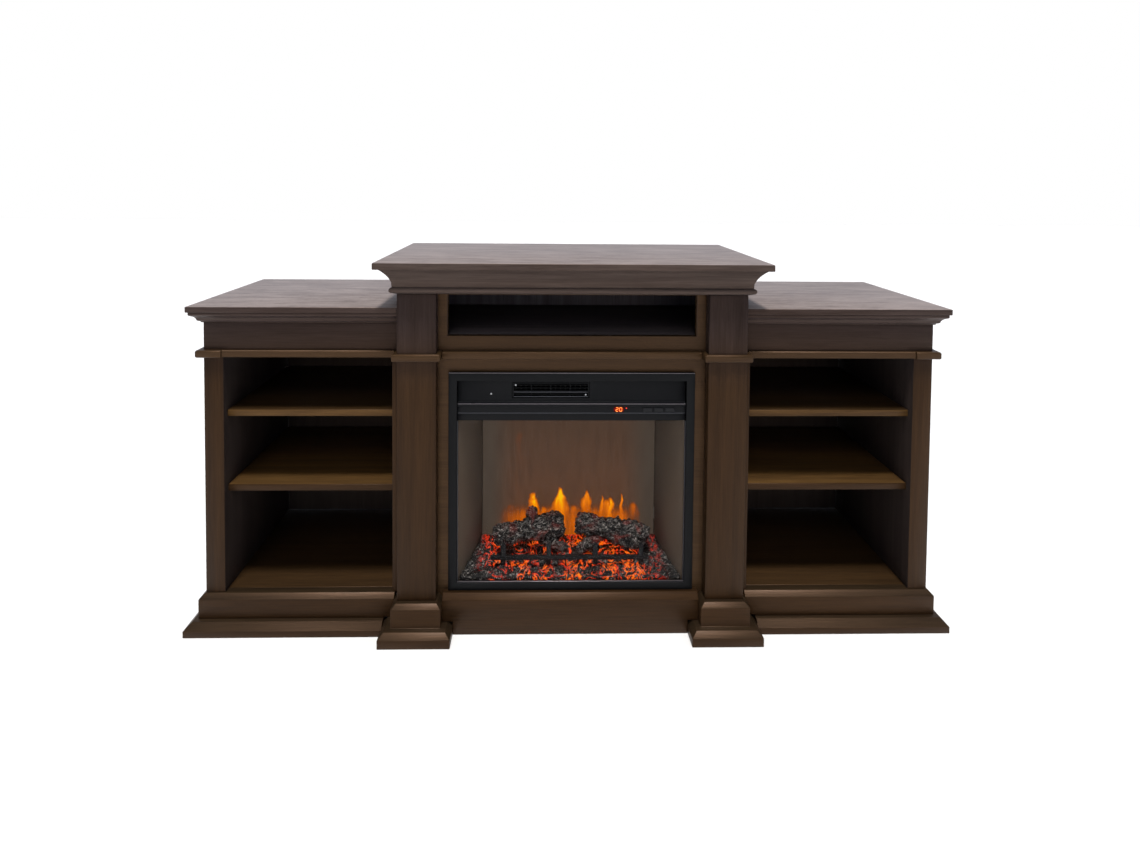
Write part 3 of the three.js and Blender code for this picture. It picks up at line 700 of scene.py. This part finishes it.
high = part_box("centre_back")[1]
two_rows("back_screw", "centre_back", CENTRE_COLUMNS, (0.05, high.z - 0.03), high.y)
for side in ("left", "right"):
    low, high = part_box(f"wing_back_{side}")
    two_rows(f"wing_screw_{side}", f"wing_back_{side}", shared_out(low, high),
             (low.z + 0.015, high.z - 0.015), high.y)
casing_low, casing_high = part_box("insert_casing")
CASING_BACK = casing_high.y
two_rows("casing_screw", "insert_casing", shared_out(casing_low, casing_high),
         (casing_low.z + 0.012, casing_high.z - 0.012), CASING_BACK)
bpy.data.objects.remove(screw)

# %% [markdown]
# ## Vents in the casing
#
# Air for the blower comes in through two banks of pressed louvres in the back of the casing. A
# louvre is a hood that stands out of the sheet. One is made from a cube: its top is drawn in and
# back towards the sheet, its edges are rounded, and copies fill each bank. Under them sits a blank
# plate of brushed foil.

# %% Casing louvres
HOOD = {"wide": 0.070, "tall": 0.0065, "proud": 0.0035, "pitch": 0.0125}
HOODS_IN_BANK = 7
BANK_INSET = 0.10
PLATE = {"half": 0.045, "sill": casing_low.z + 0.05, "tall": 0.05}


def louvre_hood(name, x, z):
    middle = (x, CASING_BACK + HOOD["proud"] / 2 - 0.0004, z)
    bpy.ops.mesh.primitive_cube_add(size=1, location=middle)
    hood = bpy.context.object
    hood.name = name
    hood.scale = (HOOD["wide"], HOOD["proud"], HOOD["tall"])
    settle(hood)
    pick_faces(hood, lambda c, n: n.z > FACE_ON)
    bpy.ops.mesh.inset(thickness=0.0008, depth=0)
    bpy.ops.transform.translate(value=(0, -HOOD["proud"] * 0.35, HOOD["tall"] * 0.2))
    bpy.ops.object.mode_set(mode="OBJECT")
    return soften(hood, 0.0007, 2)


master_hood = louvre_hood("casing_louvre_left_0", casing_low.x + BANK_INSET, casing_high.z - 0.060)
span = casing_high.x - casing_low.x - 2 * BANK_INSET
for bank, shift in (("left", 0.0), ("right", span)):
    for row in range(HOODS_IN_BANK):
        if row or shift:
            drop = (shift, 0, -row * HOOD["pitch"])
            hood = another(master_hood, f"casing_louvre_{bank}_{row}", drop)
            fitted(hood, "insert_casing", powder_coat)
fitted(master_hood, "insert_casing", powder_coat)

plate = bar("rating_plate_blank", (-PLATE["half"], CASING_BACK - 0.0003, PLATE["sill"]),
            (PLATE["half"], CASING_BACK + 0.0006, PLATE["sill"] + PLATE["tall"]), 0.0002, 1)
foil, _, _ = new_material(
    "brushed_label_foil", Base_Color=linear("8f9193"), Metallic=0.9, Roughness=0.45,
)
fitted(plate, "insert_casing", foil)

# %% [markdown]
# ## Shelf pins
#
# Every shelf rests on four nickel-plated steel pins, two in each side of its bay. A pin is a short
# round peg with a small raised end. It is one cylinder, whose end face is inset and extruded.

# %% Shelf pins
nickel, _, _ = new_material(
    "nickel_plated_steel", Base_Color=linear("9a9890"), Metallic=1.0, Roughness=0.3,
)
PIN_RADIUS = 0.0025
PIN_REACH = 0.009
PIN_FROM_EDGE = 0.04
BAY_GAP = 0.0008
PIN_CLEAR = 0.0003


def shelf_pin(way):
    """A pin at the origin that sticks out in the X direction given by way."""
    bpy.ops.mesh.primitive_cylinder_add(
        vertices=16, radius=PIN_RADIUS, depth=PIN_REACH,
        location=(way * PIN_REACH / 2, 0, -PIN_RADIUS), rotation=(0, math.radians(90), 0),
    )
    pin = bpy.context.object
    settle(pin)
    pick_faces(pin, lambda c, n: n.x * way > FACE_ON)
    bpy.ops.mesh.inset(thickness=0.0006, depth=0)
    bpy.ops.mesh.extrude_region_move(TRANSFORM_OT_translate={"value": (way * 0.0008, 0, 0)})
    bpy.ops.object.mode_set(mode="OBJECT")
    bpy.ops.object.shade_smooth_by_angle(angle=SMOOTH_UNDER)
    return pin


master_pins = {way: shelf_pin(way) for way in (1, -1)}
for side in ("left", "right"):
    for level in ("upper", "lower"):
        low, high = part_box(f"shelf_{level}_{side}")
        for end, wall, way in (("a", low.x - BAY_GAP, 1), ("b", high.x + BAY_GAP, -1)):
            for row, y in (("front", low.y + PIN_FROM_EDGE), ("back", high.y - PIN_FROM_EDGE)):
                name = f"shelf_pin_{level}_{side}_{end}_{row}"
                pin = another(master_pins[way], name, (wall, y, low.z - PIN_CLEAR))
                fitted(pin, f"wing_back_{side}", nickel)
for pin in master_pins.values():
    bpy.data.objects.remove(pin)

# %% [markdown]
# ## Display
#
# A dark red acrylic lens with two seven-segment figures that glow orange, and a small round lamp
# beside them. The figures are thin bars just in front of the lens, and the lens itself glows a
# little round them, as cheap displays do.

# %% Display
lens_low, lens_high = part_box("display_lens")


def glowing_lens(name):
    """Red acrylic, brightest behind the figures."""
    material, tree, shader = new_material(
        name, Base_Color=linear("1a0202"), Roughness=0.12, Specular_IOR_Level=0.08,
    )
    place = put(tree, "TexCoord").outputs["Object"]
    centre = (lens_low + lens_high) / 2
    reach = (lens_high - lens_low) / 2
    scale = (1 / reach.x, 0.0, 1 / reach.z)
    moved = put(tree, "VectorMath", {0: place, 1: tuple(centre)}, operation="SUBTRACT")
    spread = put(tree, "VectorMath", {0: moved, 1: scale}, operation="MULTIPLY")
    away = put(tree, "VectorMath", {0: spread}, operation="LENGTH")
    halo = put(tree, "MapRange", {
        "Value": away.outputs["Value"], "From Min": 0.3, "From Max": 1.25,
        "To Min": 0.9, "To Max": 0.03,
    }, **EASED_STEP)
    red = put(tree, "Mix", {
        "Factor": halo, "A": linear("100202"), "B": linear("c81408"),
    }, data_type="RGBA")
    feed(tree, shader, Emission_Color=red.outputs["Result"])
    return material


board("display_lens", glowing_lens("red_acrylic_lens"), width=0.0004)
digit_glow, _, _ = new_material(
    "lit_digit", Base_Color=linear("ff7a30"), Emission_Color=linear("ff9c3c"),
    Emission_Strength=1.4,
)
DIGIT = {"wide": 0.0056, "tall": 0.0092, "bar": 0.0011, "gap": 0.0034}
# Segments of a figure: a middle point and a length across or up, in units of the figure's size.
SEGMENTS = {
    "top": ((0.5, 1.0), "across"), "middle": ((0.5, 0.5), "across"),
    "bottom": ((0.5, 0.0), "across"),
    "high_left": ((0.0, 0.75), "up"), "high_right": ((1.0, 0.75), "up"),
    "low_left": ((0.0, 0.25), "up"), "low_right": ((1.0, 0.25), "up"),
}
FIGURES = {
    "2": ("top", "high_right", "middle", "low_left", "bottom"),
    "0": ("top", "bottom", "high_left", "high_right", "low_left", "low_right"),
}


def figure(digit, left, sill):
    """The lit bars of one figure."""
    for segment in FIGURES[digit]:
        (u, v), way = SEGMENTS[segment]
        x = left + u * DIGIT["wide"]
        z = sill + v * DIGIT["tall"]
        whole = DIGIT["wide"] if way == "across" else DIGIT["tall"] / 2
        half_long = whole / 2 - DIGIT["bar"] * 0.4
        half = (half_long, DIGIT["bar"] / 2) if way == "across" else (DIGIT["bar"] / 2, half_long)
        stroke = bar(f"digit_{digit}_{segment}", (x - half[0], lens_low.y - 0.0004, z - half[1]),
                     (x + half[0], lens_low.y + 0.0002, z + half[1]), 0.00018, 1)
        fitted(stroke, "display_lens", digit_glow)


digits_wide = 2 * DIGIT["wide"] + DIGIT["gap"]
digits_left = (lens_low.x + lens_high.x - digits_wide) / 2
digits_sill = (lens_low.z + lens_high.z - DIGIT["tall"]) / 2
figure("2", digits_left, digits_sill)
figure("0", digits_left + DIGIT["wide"] + DIGIT["gap"], digits_sill)

LAMP_PLACE = (lens_high.x + 0.006, lens_low.y - 0.0002, lens_high.z - 0.003)
LAMP_FLATNESS = 0.5
bpy.ops.mesh.primitive_uv_sphere_add(segments=16, ring_count=8, radius=0.0016, location=LAMP_PLACE)
lamp = bpy.context.object
lamp.name = "indicator_lamp"
lamp.scale.y = LAMP_FLATNESS
settle(lamp)
bpy.ops.object.shade_smooth()
lamp_glow, _, _ = new_material(
    "red_led", Base_Color=linear("ff3018"), Emission_Color=linear("ff3424"), Emission_Strength=1.2,
)
fitted(lamp, "display_lens", lamp_glow)
print("display from", round(lens_low.x, 3), "to", round(lens_high.x, 3))

# %% [markdown]
# ## Glass
#
# Clear tempered glass in front of the fire. From outside it adds a faint grey veil, the reflection
# of the lit room, and lets nearly everything through, so a thin see-through coat works better than
# real refraction.

# %% Glass
clear_glass, _, _ = new_material(
    "tempered_glass", Base_Color=linear("1c1a18"), Roughness=0.05, Alpha=0.05,
    Specular_IOR_Level=0.3,
)
clear_glass.surface_render_method = "BLENDED"
board("glass_front", clear_glass, width=0.0005)

# %% [markdown]
# ## Embers
#
# The bed is one moulding of clear resin, painted with black and grey coal and left bare in the
# cracks, so that the lamps under it shine through as red-orange fibres. The grey specks are partly
# that grey paint and partly painted glints, the light caught on the edges of the lumps. The CAD
# tray gives its slope and its heaps. It is cut finer and pushed up and down by two noises: lumps of
# coal 16 mm across, and crumbs of 4.5 mm.

# %% Shape helpers for rough pieces
def cloud(name, size, depth=2):
    pattern = bpy.data.textures.new(name, "CLOUDS")
    pattern.noise_scale = size
    pattern.noise_depth = depth
    return pattern


def roughen(piece, pattern, amount, direction="NORMAL", rest_level=0.5, group=""):
    """Pushes a mesh, or a group of its points, in and out by a pattern, and keeps the result."""
    push = piece.modifiers.new(pattern.name, "DISPLACE")
    push.texture = pattern
    push.texture_coords = "LOCAL"
    push.strength = amount
    push.mid_level = rest_level
    push.direction = direction
    push.vertex_group = group
    select_only(piece)
    bpy.ops.object.modifier_apply(modifier=push.name)


lumps = cloud("lumps_of_coal", 0.016, 1)
crumbs = cloud("crumbs_of_coal", 0.0045, 1)
bark = cloud("bark_ridges", 0.010, 2)

# %% Ember bed shape
EMBER_CUTS = 5
EMBER_RIM = 0.003


def ember_mesh():
    """The CAD tray, with its top cut finer and turned to lumps and crumbs."""
    low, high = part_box("ember_bed")
    bed = bpy.data.objects.new("ember_bed_coals", nodes["ember_bed"].data.copy())
    bed.data.materials.clear()
    scene.collection.objects.link(bed)
    select_only(bed)
    bpy.ops.object.mode_set(mode="EDIT")
    bpy.ops.mesh.select_all(action="SELECT")
    bpy.ops.mesh.remove_doubles(threshold=MERGE_WITHIN)
    bpy.ops.mesh.normals_make_consistent(inside=False)
    pick_faces(bed, lambda c, n: n.z > LEANING and c.z > low.z + 0.002)
    bpy.ops.mesh.subdivide(number_cuts=EMBER_CUTS, smoothness=0.6)
    bpy.ops.object.mode_set(mode="OBJECT")
    top = bed.vertex_groups.new(name="top")
    inner = [v.index for v in bed.data.vertices
             if v.co.z > low.z + 2 * EMBER_RIM and low.y + EMBER_RIM < v.co.y < high.y - EMBER_RIM
             and abs(v.co.x) < high.x - EMBER_RIM]
    top.add(inner, 1.0, "REPLACE")
    roughen(bed, lumps, 0.016, "Z", 0.55, "top")
    roughen(bed, crumbs, 0.008, "Z", 0.55, "top")
    bpy.ops.object.shade_smooth()
    return bed


# %% Glowing coal
LAMPS_REACH = 0.235


def glowing_coal(name, lit_share, grain_mm, ash_and_highlight="8f8983", coal="0d0b0a"):
    """Black coal with fibres that glow. lit_share is how much of it glows, from 0 to 1."""
    material, tree, shader = new_material(name, Specular_IOR_Level=0.22, Roughness=0.42)
    place = put(tree, "TexCoord").outputs["Object"]
    swirl = put(tree, "TexNoise", {
        "Vector": place, "Scale": 1000 / grain_mm, "Detail": 2.5, "Roughness": 0.55,
        "Distortion": 1.8,
    })
    off = put(tree, "Math", {0: swirl.outputs["Fac"], 1: 0.5}, operation="SUBTRACT")
    off = put(tree, "Math", {0: off}, operation="ABSOLUTE")
    vein = put(tree, "MapRange", {
        "Value": off, "From Min": 0.008, "From Max": 0.052, "To Min": 1.0, "To Max": 0.0,
    })
    patch = put(tree, "TexNoise", {"Vector": place, "Scale": 22.0, "Detail": 1.5})
    all_lit = 0.77 - 0.25 * lit_share
    lit = put(tree, "MapRange", {
        "Value": patch.outputs["Fac"], "From Min": all_lit - 0.16, "From Max": all_lit,
    })
    across = put(tree, "SeparateXYZ", {0: place})
    side = put(tree, "Math", {0: across.outputs["X"]}, operation="ABSOLUTE")
    near = put(tree, "MapRange", {
        "Value": side, "From Min": LAMPS_REACH * 0.75, "From Max": LAMPS_REACH * 1.12,
        "To Min": 1.0, "To Max": 0.0,
    }, **EASED_STEP)
    glow = put(tree, "Math", {0: vein, 1: lit}, operation="MULTIPLY")
    glow = put(tree, "Math", {0: glow, 1: near}, operation="MULTIPLY")
    heat = put(tree, "ValToRGB", {"Fac": glow})
    heat.color_ramp.elements[0].position = 0.08
    heat.color_ramp.elements[0].color = (0, 0, 0, 1)
    heat.color_ramp.elements[1].position = 1.0
    heat.color_ramp.elements[1].color = linear("ff8a10")
    for position, colour in ((0.3, "6e1206"), (0.55, "e2300a"), (0.85, "ff4c08")):
        heat.color_ramp.elements.new(position).color = linear(colour)
    # Grey specks: partly grey ash paint on the coal, partly painted glints where the lumps' edges
    # catch the light.
    grit = put(tree, "TexNoise", {
        "Vector": place, "Scale": 130.0, "Detail": 2.0, "Distortion": 2.0,
    })
    ash_and_glint_specks = put(tree, "MapRange", {
        "Value": grit.outputs["Fac"], "From Min": 0.57, "From Max": 0.68,
    })
    unlit = put(tree, "Math", {0: 1.0, 1: glow}, operation="SUBTRACT")
    cold = put(tree, "Math", {0: ash_and_glint_specks, 1: unlit}, operation="MULTIPLY")
    body = put(tree, "Mix", {
        "Factor": cold, "A": linear(coal), "B": linear(ash_and_highlight),
    }, data_type="RGBA")
    relief = put(tree, "Bump", {
        "Height": grit.outputs["Fac"], "Strength": 0.9, "Distance": 0.003,
    })
    feed(tree, shader, Base_Color=body.outputs["Result"], Emission_Color=heat.outputs["Color"],
         Normal=relief.outputs[0])
    return material


bed = ember_mesh()
stands_for(bed, "ember_bed", glowing_coal("lit_resin_coals", 1.0, 30.0))
print("ember bed faces", len(bed.data.polygons))

# %% [markdown]
# ## Logs
#
# The logs are hollow resin casts of charred branches, painted black, with thin grey brush lines
# along the ridges that also carry a painted highlight, brightest on top, and patches of painted red
# ember glow. The CAD solids give their thickness and how they lie. A remesh melts the branches
# together, and then bark ridges and crumbs are pushed into the skin.

# %% Log shape
SKIN_STEP = 0.002


def charred_log(node):
    piece = copy_of(node, f"{node}_bark")
    melt = piece.modifiers.new("melt", "REMESH")
    melt.mode = "VOXEL"
    melt.voxel_size = SKIN_STEP
    bpy.ops.object.modifier_apply(modifier=melt.name)
    ease = piece.modifiers.new("soften", "SMOOTH")
    ease.iterations = 4
    bpy.ops.object.modifier_apply(modifier=ease.name)
    roughen(piece, bark, 0.017)
    roughen(piece, crumbs, 0.007)
    bpy.ops.object.shade_smooth()
    return piece


# %% Charred bark
def charred_bark(name):
    """Black resin, ridges dry-brushed grey with a painted highlight on top, and painted red ember
    glow.
    """
    material, tree, shader = new_material(name, Specular_IOR_Level=0.3, Roughness=0.4)
    place = put(tree, "TexCoord").outputs["Object"]
    along = put(tree, "Mapping", {"Vector": place, "Scale": (45.0, 85.0, 85.0)})
    ridge = put(tree, "TexNoise", {
        "Vector": along, "Scale": 1.0, "Detail": 2.0, "Roughness": 0.5, "Distortion": 2.4,
    })
    crest = put(tree, "Math", {0: ridge.outputs["Fac"], 1: 0.53}, operation="SUBTRACT")
    crest = put(tree, "Math", {0: crest}, operation="ABSOLUTE")
    brushed_and_lit_crests = put(tree, "MapRange", {
        "Value": crest, "From Min": 0.004, "From Max": 0.026, "To Min": 1.0, "To Max": 0.0,
    })
    # The grey crest lines are stronger on skin that faces up: a painted highlight on top of the
    # dry-brushed ash.
    facing = put(tree, "SeparateXYZ", {0: put(tree, "NewGeometry").outputs["Normal"]})
    lit_from_above = put(tree, "MapRange", {
        "Value": facing.outputs["Z"], "From Min": -0.3, "From Max": 0.7,
        "To Min": 0.25, "To Max": 1.0,
    })
    ash_and_highlight = put(tree, "Math", {0: brushed_and_lit_crests, 1: lit_from_above}, operation="MULTIPLY")
    body = put(tree, "Mix", {
        "Factor": ash_and_highlight, "A": linear("0b0807"), "B": linear("b8aea6"),
    }, data_type="RGBA")
    # Patches of painted red glow stand in for the light of the embers on the bark.
    wander = put(tree, "TexNoise", {
        "Vector": place, "Scale": 30.0, "Detail": 3.0, "Distortion": 1.0,
    })
    ember_glow_patches = put(tree, "MapRange", {
        "Value": wander.outputs["Fac"], "From Min": 0.53, "From Max": 0.72,
    })
    painted_ember_glow = put(tree, "Mix", {
        "Factor": ember_glow_patches, "A": (0, 0, 0, 1), "B": linear("5a1a12"),
    }, data_type="RGBA")
    relief = put(tree, "Bump", {
        "Height": ridge.outputs["Fac"], "Strength": 1.0, "Distance": 0.007,
    })
    feed(tree, shader, Base_Color=body.outputs["Result"], Emission_Color=painted_ember_glow.outputs["Result"],
         Normal=relief.outputs[0])
    return material


charred = charred_bark("charred_resin_bark")
for node in ("log_left", "log_right"):
    log = charred_log(node)
    stands_for(log, node, charred)
    print(log.name, len(log.data.polygons))

# %% [markdown]
# ## Grate
#
# A plain black bar with four round-topped stubs keeps the logs on the coals. It is cast and
# painted, so its edges are soft and its skin is rough.

# %% Grate
iron = coated("painted_cast_iron", "0b0b0c", 0.6, 3.0, 0.6, specular=0.3)
board("ember_grate", iron, width=0.0012)

# %% [markdown]
# ## Flame screen
#
# The flames are light on a frosted sheet: lamps behind it shine past the turning reflectors, so
# tongues of light lick up from the logs, with a brown haze above them. Each tongue is drawn as a
# light patch that is wide and dull at the foot, thin and bright at the tip. One noise bends them
# all, and a ramp turns the brightest one at each place into colour.

# %% Flames
# Each tongue: its middle, foot and tip, its half width at the foot and at the tip, all in metres,
# and how bright its tip is.
TONGUES = (
    (-0.094, 0.200, 0.246, 0.016, 0.0125, 1.12), (-0.094, 0.234, 0.257, 0.0135, 0.0080, 1.15),
    (-0.131, 0.330, 0.425, 0.012, 0.0090, 0.25), (-0.023, 0.196, 0.272, 0.036, 0.0050, 1.1),
    (0.045, 0.196, 0.248, 0.014, 0.0150, 0.82), (0.045, 0.230, 0.264, 0.014, 0.0040, 1.15),
    (0.088, 0.200, 0.250, 0.009, 0.0030, 1.0), (0.112, 0.200, 0.244, 0.010, 0.0050, 1.15),
    (0.100, 0.190, 0.240, 0.028, 0.0180, 0.74), (0.139, 0.206, 0.254, 0.007, 0.0028, 1.05),
    (-0.066, 0.190, 0.222, 0.020, 0.0120, 0.72), (0.172, 0.190, 0.234, 0.022, 0.0100, 0.5),
    (-0.150, 0.190, 0.230, 0.024, 0.0120, 0.36), (0.012, 0.190, 0.226, 0.020, 0.0120, 0.62),
)


def tongue_of_light(tree, x, z, centre, foot, tip, wide, thin, bright):
    """The brightness of one tongue at every place on the screen."""
    rise = put(tree, "MapRange", {"Value": z, "From Min": foot, "From Max": tip}).outputs[0]
    room = put(tree, "MapRange", {"Value": rise, "To Min": wide, "To Max": thin},
               **EASED_STEP)
    aside = put(tree, "Math", {0: x, 1: centre}, operation="SUBTRACT")
    aside = put(tree, "Math", {0: aside}, operation="ABSOLUTE")
    ratio = put(tree, "Math", {0: aside, 1: room}, operation="DIVIDE")
    edge = put(tree, "MapRange", {
        "Value": ratio, "From Min": 0.2, "From Max": 1.5, "To Min": 1.0, "To Max": 0.0,
    }, **EASED_STEP)
    fade = put(tree, "MapRange", {
        "Value": z, "From Min": tip - 0.010, "From Max": tip + 0.012, "To Min": 1.0, "To Max": 0.0,
    }, **EASED_STEP)
    heat = put(tree, "MapRange", {"Value": rise, "To Min": bright * 0.55, "To Max": bright})
    shape = put(tree, "Math", {0: edge, 1: fade}, operation="MULTIPLY")
    return put(tree, "Math", {0: shape, 1: heat}, operation="MULTIPLY").outputs[0]


# %% Flame screen
def frosted_screen(name):
    material, tree, shader = new_material(
        name, Base_Color=linear("1a1512"), Roughness=0.6, Specular_IOR_Level=0.1,
    )
    place = put(tree, "TexCoord").outputs["Object"]
    spot = put(tree, "SeparateXYZ", {0: place})
    z = spot.outputs["Z"]
    flicker = put(tree, "TexNoise", {"Vector": place, "Scale": 34.0, "Detail": 2.0})
    lean = put(tree, "MapRange", {
        "Value": flicker.outputs["Fac"], "To Min": -0.012, "To Max": 0.012,
    })
    x = put(tree, "Math", {0: spot.outputs["X"], 1: lean}, operation="ADD").outputs[0]
    total = None
    for tongue in TONGUES:
        light = tongue_of_light(tree, x, z, *tongue)
        total = light if total is None else put(
            tree, "Math", {0: total, 1: light}, operation="MAXIMUM").outputs[0]

    side = put(tree, "Math", {0: spot.outputs["X"]}, operation="ABSOLUTE").outputs[0]
    inner = put(tree, "MapRange", {
        "Value": side, "From Min": 0.13, "From Max": 0.215, "To Min": 1.0, "To Max": 0.0,
    }, **EASED_STEP).outputs[0]
    root = put(tree, "MapRange", {
        "Value": z, "From Min": 0.196, "From Max": 0.252, "To Min": 0.5, "To Max": 0.0,
    }, **EASED_STEP)
    roots = put(tree, "Math", {0: root, 1: inner}, operation="MULTIPLY")
    joined = put(tree, "Math", {0: total, 1: roots}, operation="MAXIMUM")
    wisps = put(tree, "Mapping", {"Vector": place, "Scale": (90.0, 90.0, 14.0)})
    curtain = put(tree, "TexNoise", {"Vector": wisps, "Scale": 1.0, "Detail": 3.0})
    streak = put(tree, "MapRange", {
        "Value": curtain.outputs["Fac"], "From Min": 0.3, "From Max": 0.7,
        "To Min": 0.72, "To Max": 1.15,
    }).outputs[0]
    bright = put(tree, "Math", {0: joined, 1: streak}, operation="MULTIPLY")
    flame = put(tree, "ValToRGB", {"Fac": bright})
    ramp = flame.color_ramp
    ramp.elements[0].position = 0.06
    ramp.elements[0].color = linear("4a2a18")
    ramp.elements[1].position = 1.0
    ramp.elements[1].color = linear("ffc800")
    for position, colour in ((0.3, "8a4010"), (0.55, "d46604"), (0.8, "fa8c00")):
        ramp.elements.new(position).color = linear(colour)

    upper = put(tree, "MapRange", {"Value": z, "From Min": 0.24, "From Max": 0.50})
    smoke = put(tree, "Mix", {
        "Factor": upper, "A": linear("5b3d2b"), "B": linear("49372a"),
    }, data_type="RGBA")
    veil = put(tree, "Mix", {
        "Factor": inner, "A": linear("473d34"), "B": smoke.outputs["Result"],
    }, data_type="RGBA")
    drifting = put(tree, "Mix", {
        "Factor": streak, "A": linear("2c1f17"), "B": veil.outputs["Result"],
    }, data_type="RGBA")
    cover = put(tree, "MapRange", {"Value": bright, "From Min": 0.12, "From Max": 0.42})
    light = put(tree, "Mix", {
        "Factor": cover, "A": drifting.outputs["Result"], "B": flame.outputs["Color"],
    }, data_type="RGBA")
    feed(tree, shader, Emission_Color=light.outputs["Result"])
    return material


board("flame_screen", frosted_screen("frosted_flame_screen"), width=0.0004)
print("tongues", len(TONGUES))

# %% [markdown]
# ## Machinery behind the fire
#
# Behind the screen a rotor with bright reflectors turns on a small motor, and above it a cross-flow
# blower pushes air over a ceramic heater. They are rolled or black anodised aluminium, plated steel
# and matt ceramic.

# %% Machinery
def metal(name, colour, rough, along=(1.0, 60.0, 60.0)):
    """Bare metal with fine drawn lines along X."""
    material, tree, shader = new_material(name, Base_Color=linear(colour), Metallic=1.0)
    place = put(tree, "TexCoord").outputs["Object"]
    drawn = put(tree, "Mapping", {"Vector": place, "Scale": along})
    lines = put(tree, "TexNoise", {"Vector": drawn, "Scale": 8.0, "Detail": 2.0})
    gloss = put(tree, "MapRange", {
        "Value": lines.outputs["Fac"], "To Min": rough - 0.1, "To Max": rough + 0.12,
    })
    feed(tree, shader, Roughness=gloss.outputs[0])
    return material


rolled = metal("rolled_aluminium", "c9cbce", 0.25)
anodised = metal("black_anodised_aluminium", "1c1d20", 0.4)
plated = metal("plated_steel", "a3a5a8", 0.38)
ceramic = coated("black_ceramic_fins", "26241f", 0.7, 2.0, 0.2)
for node, material in (("flame_rotor", rolled), ("blower_wheel", anodised), ("rotor_motor", plated),
                       ("blower_motor", plated), ("heating_element", ceramic)):
    board(node, material, width=0.0003)
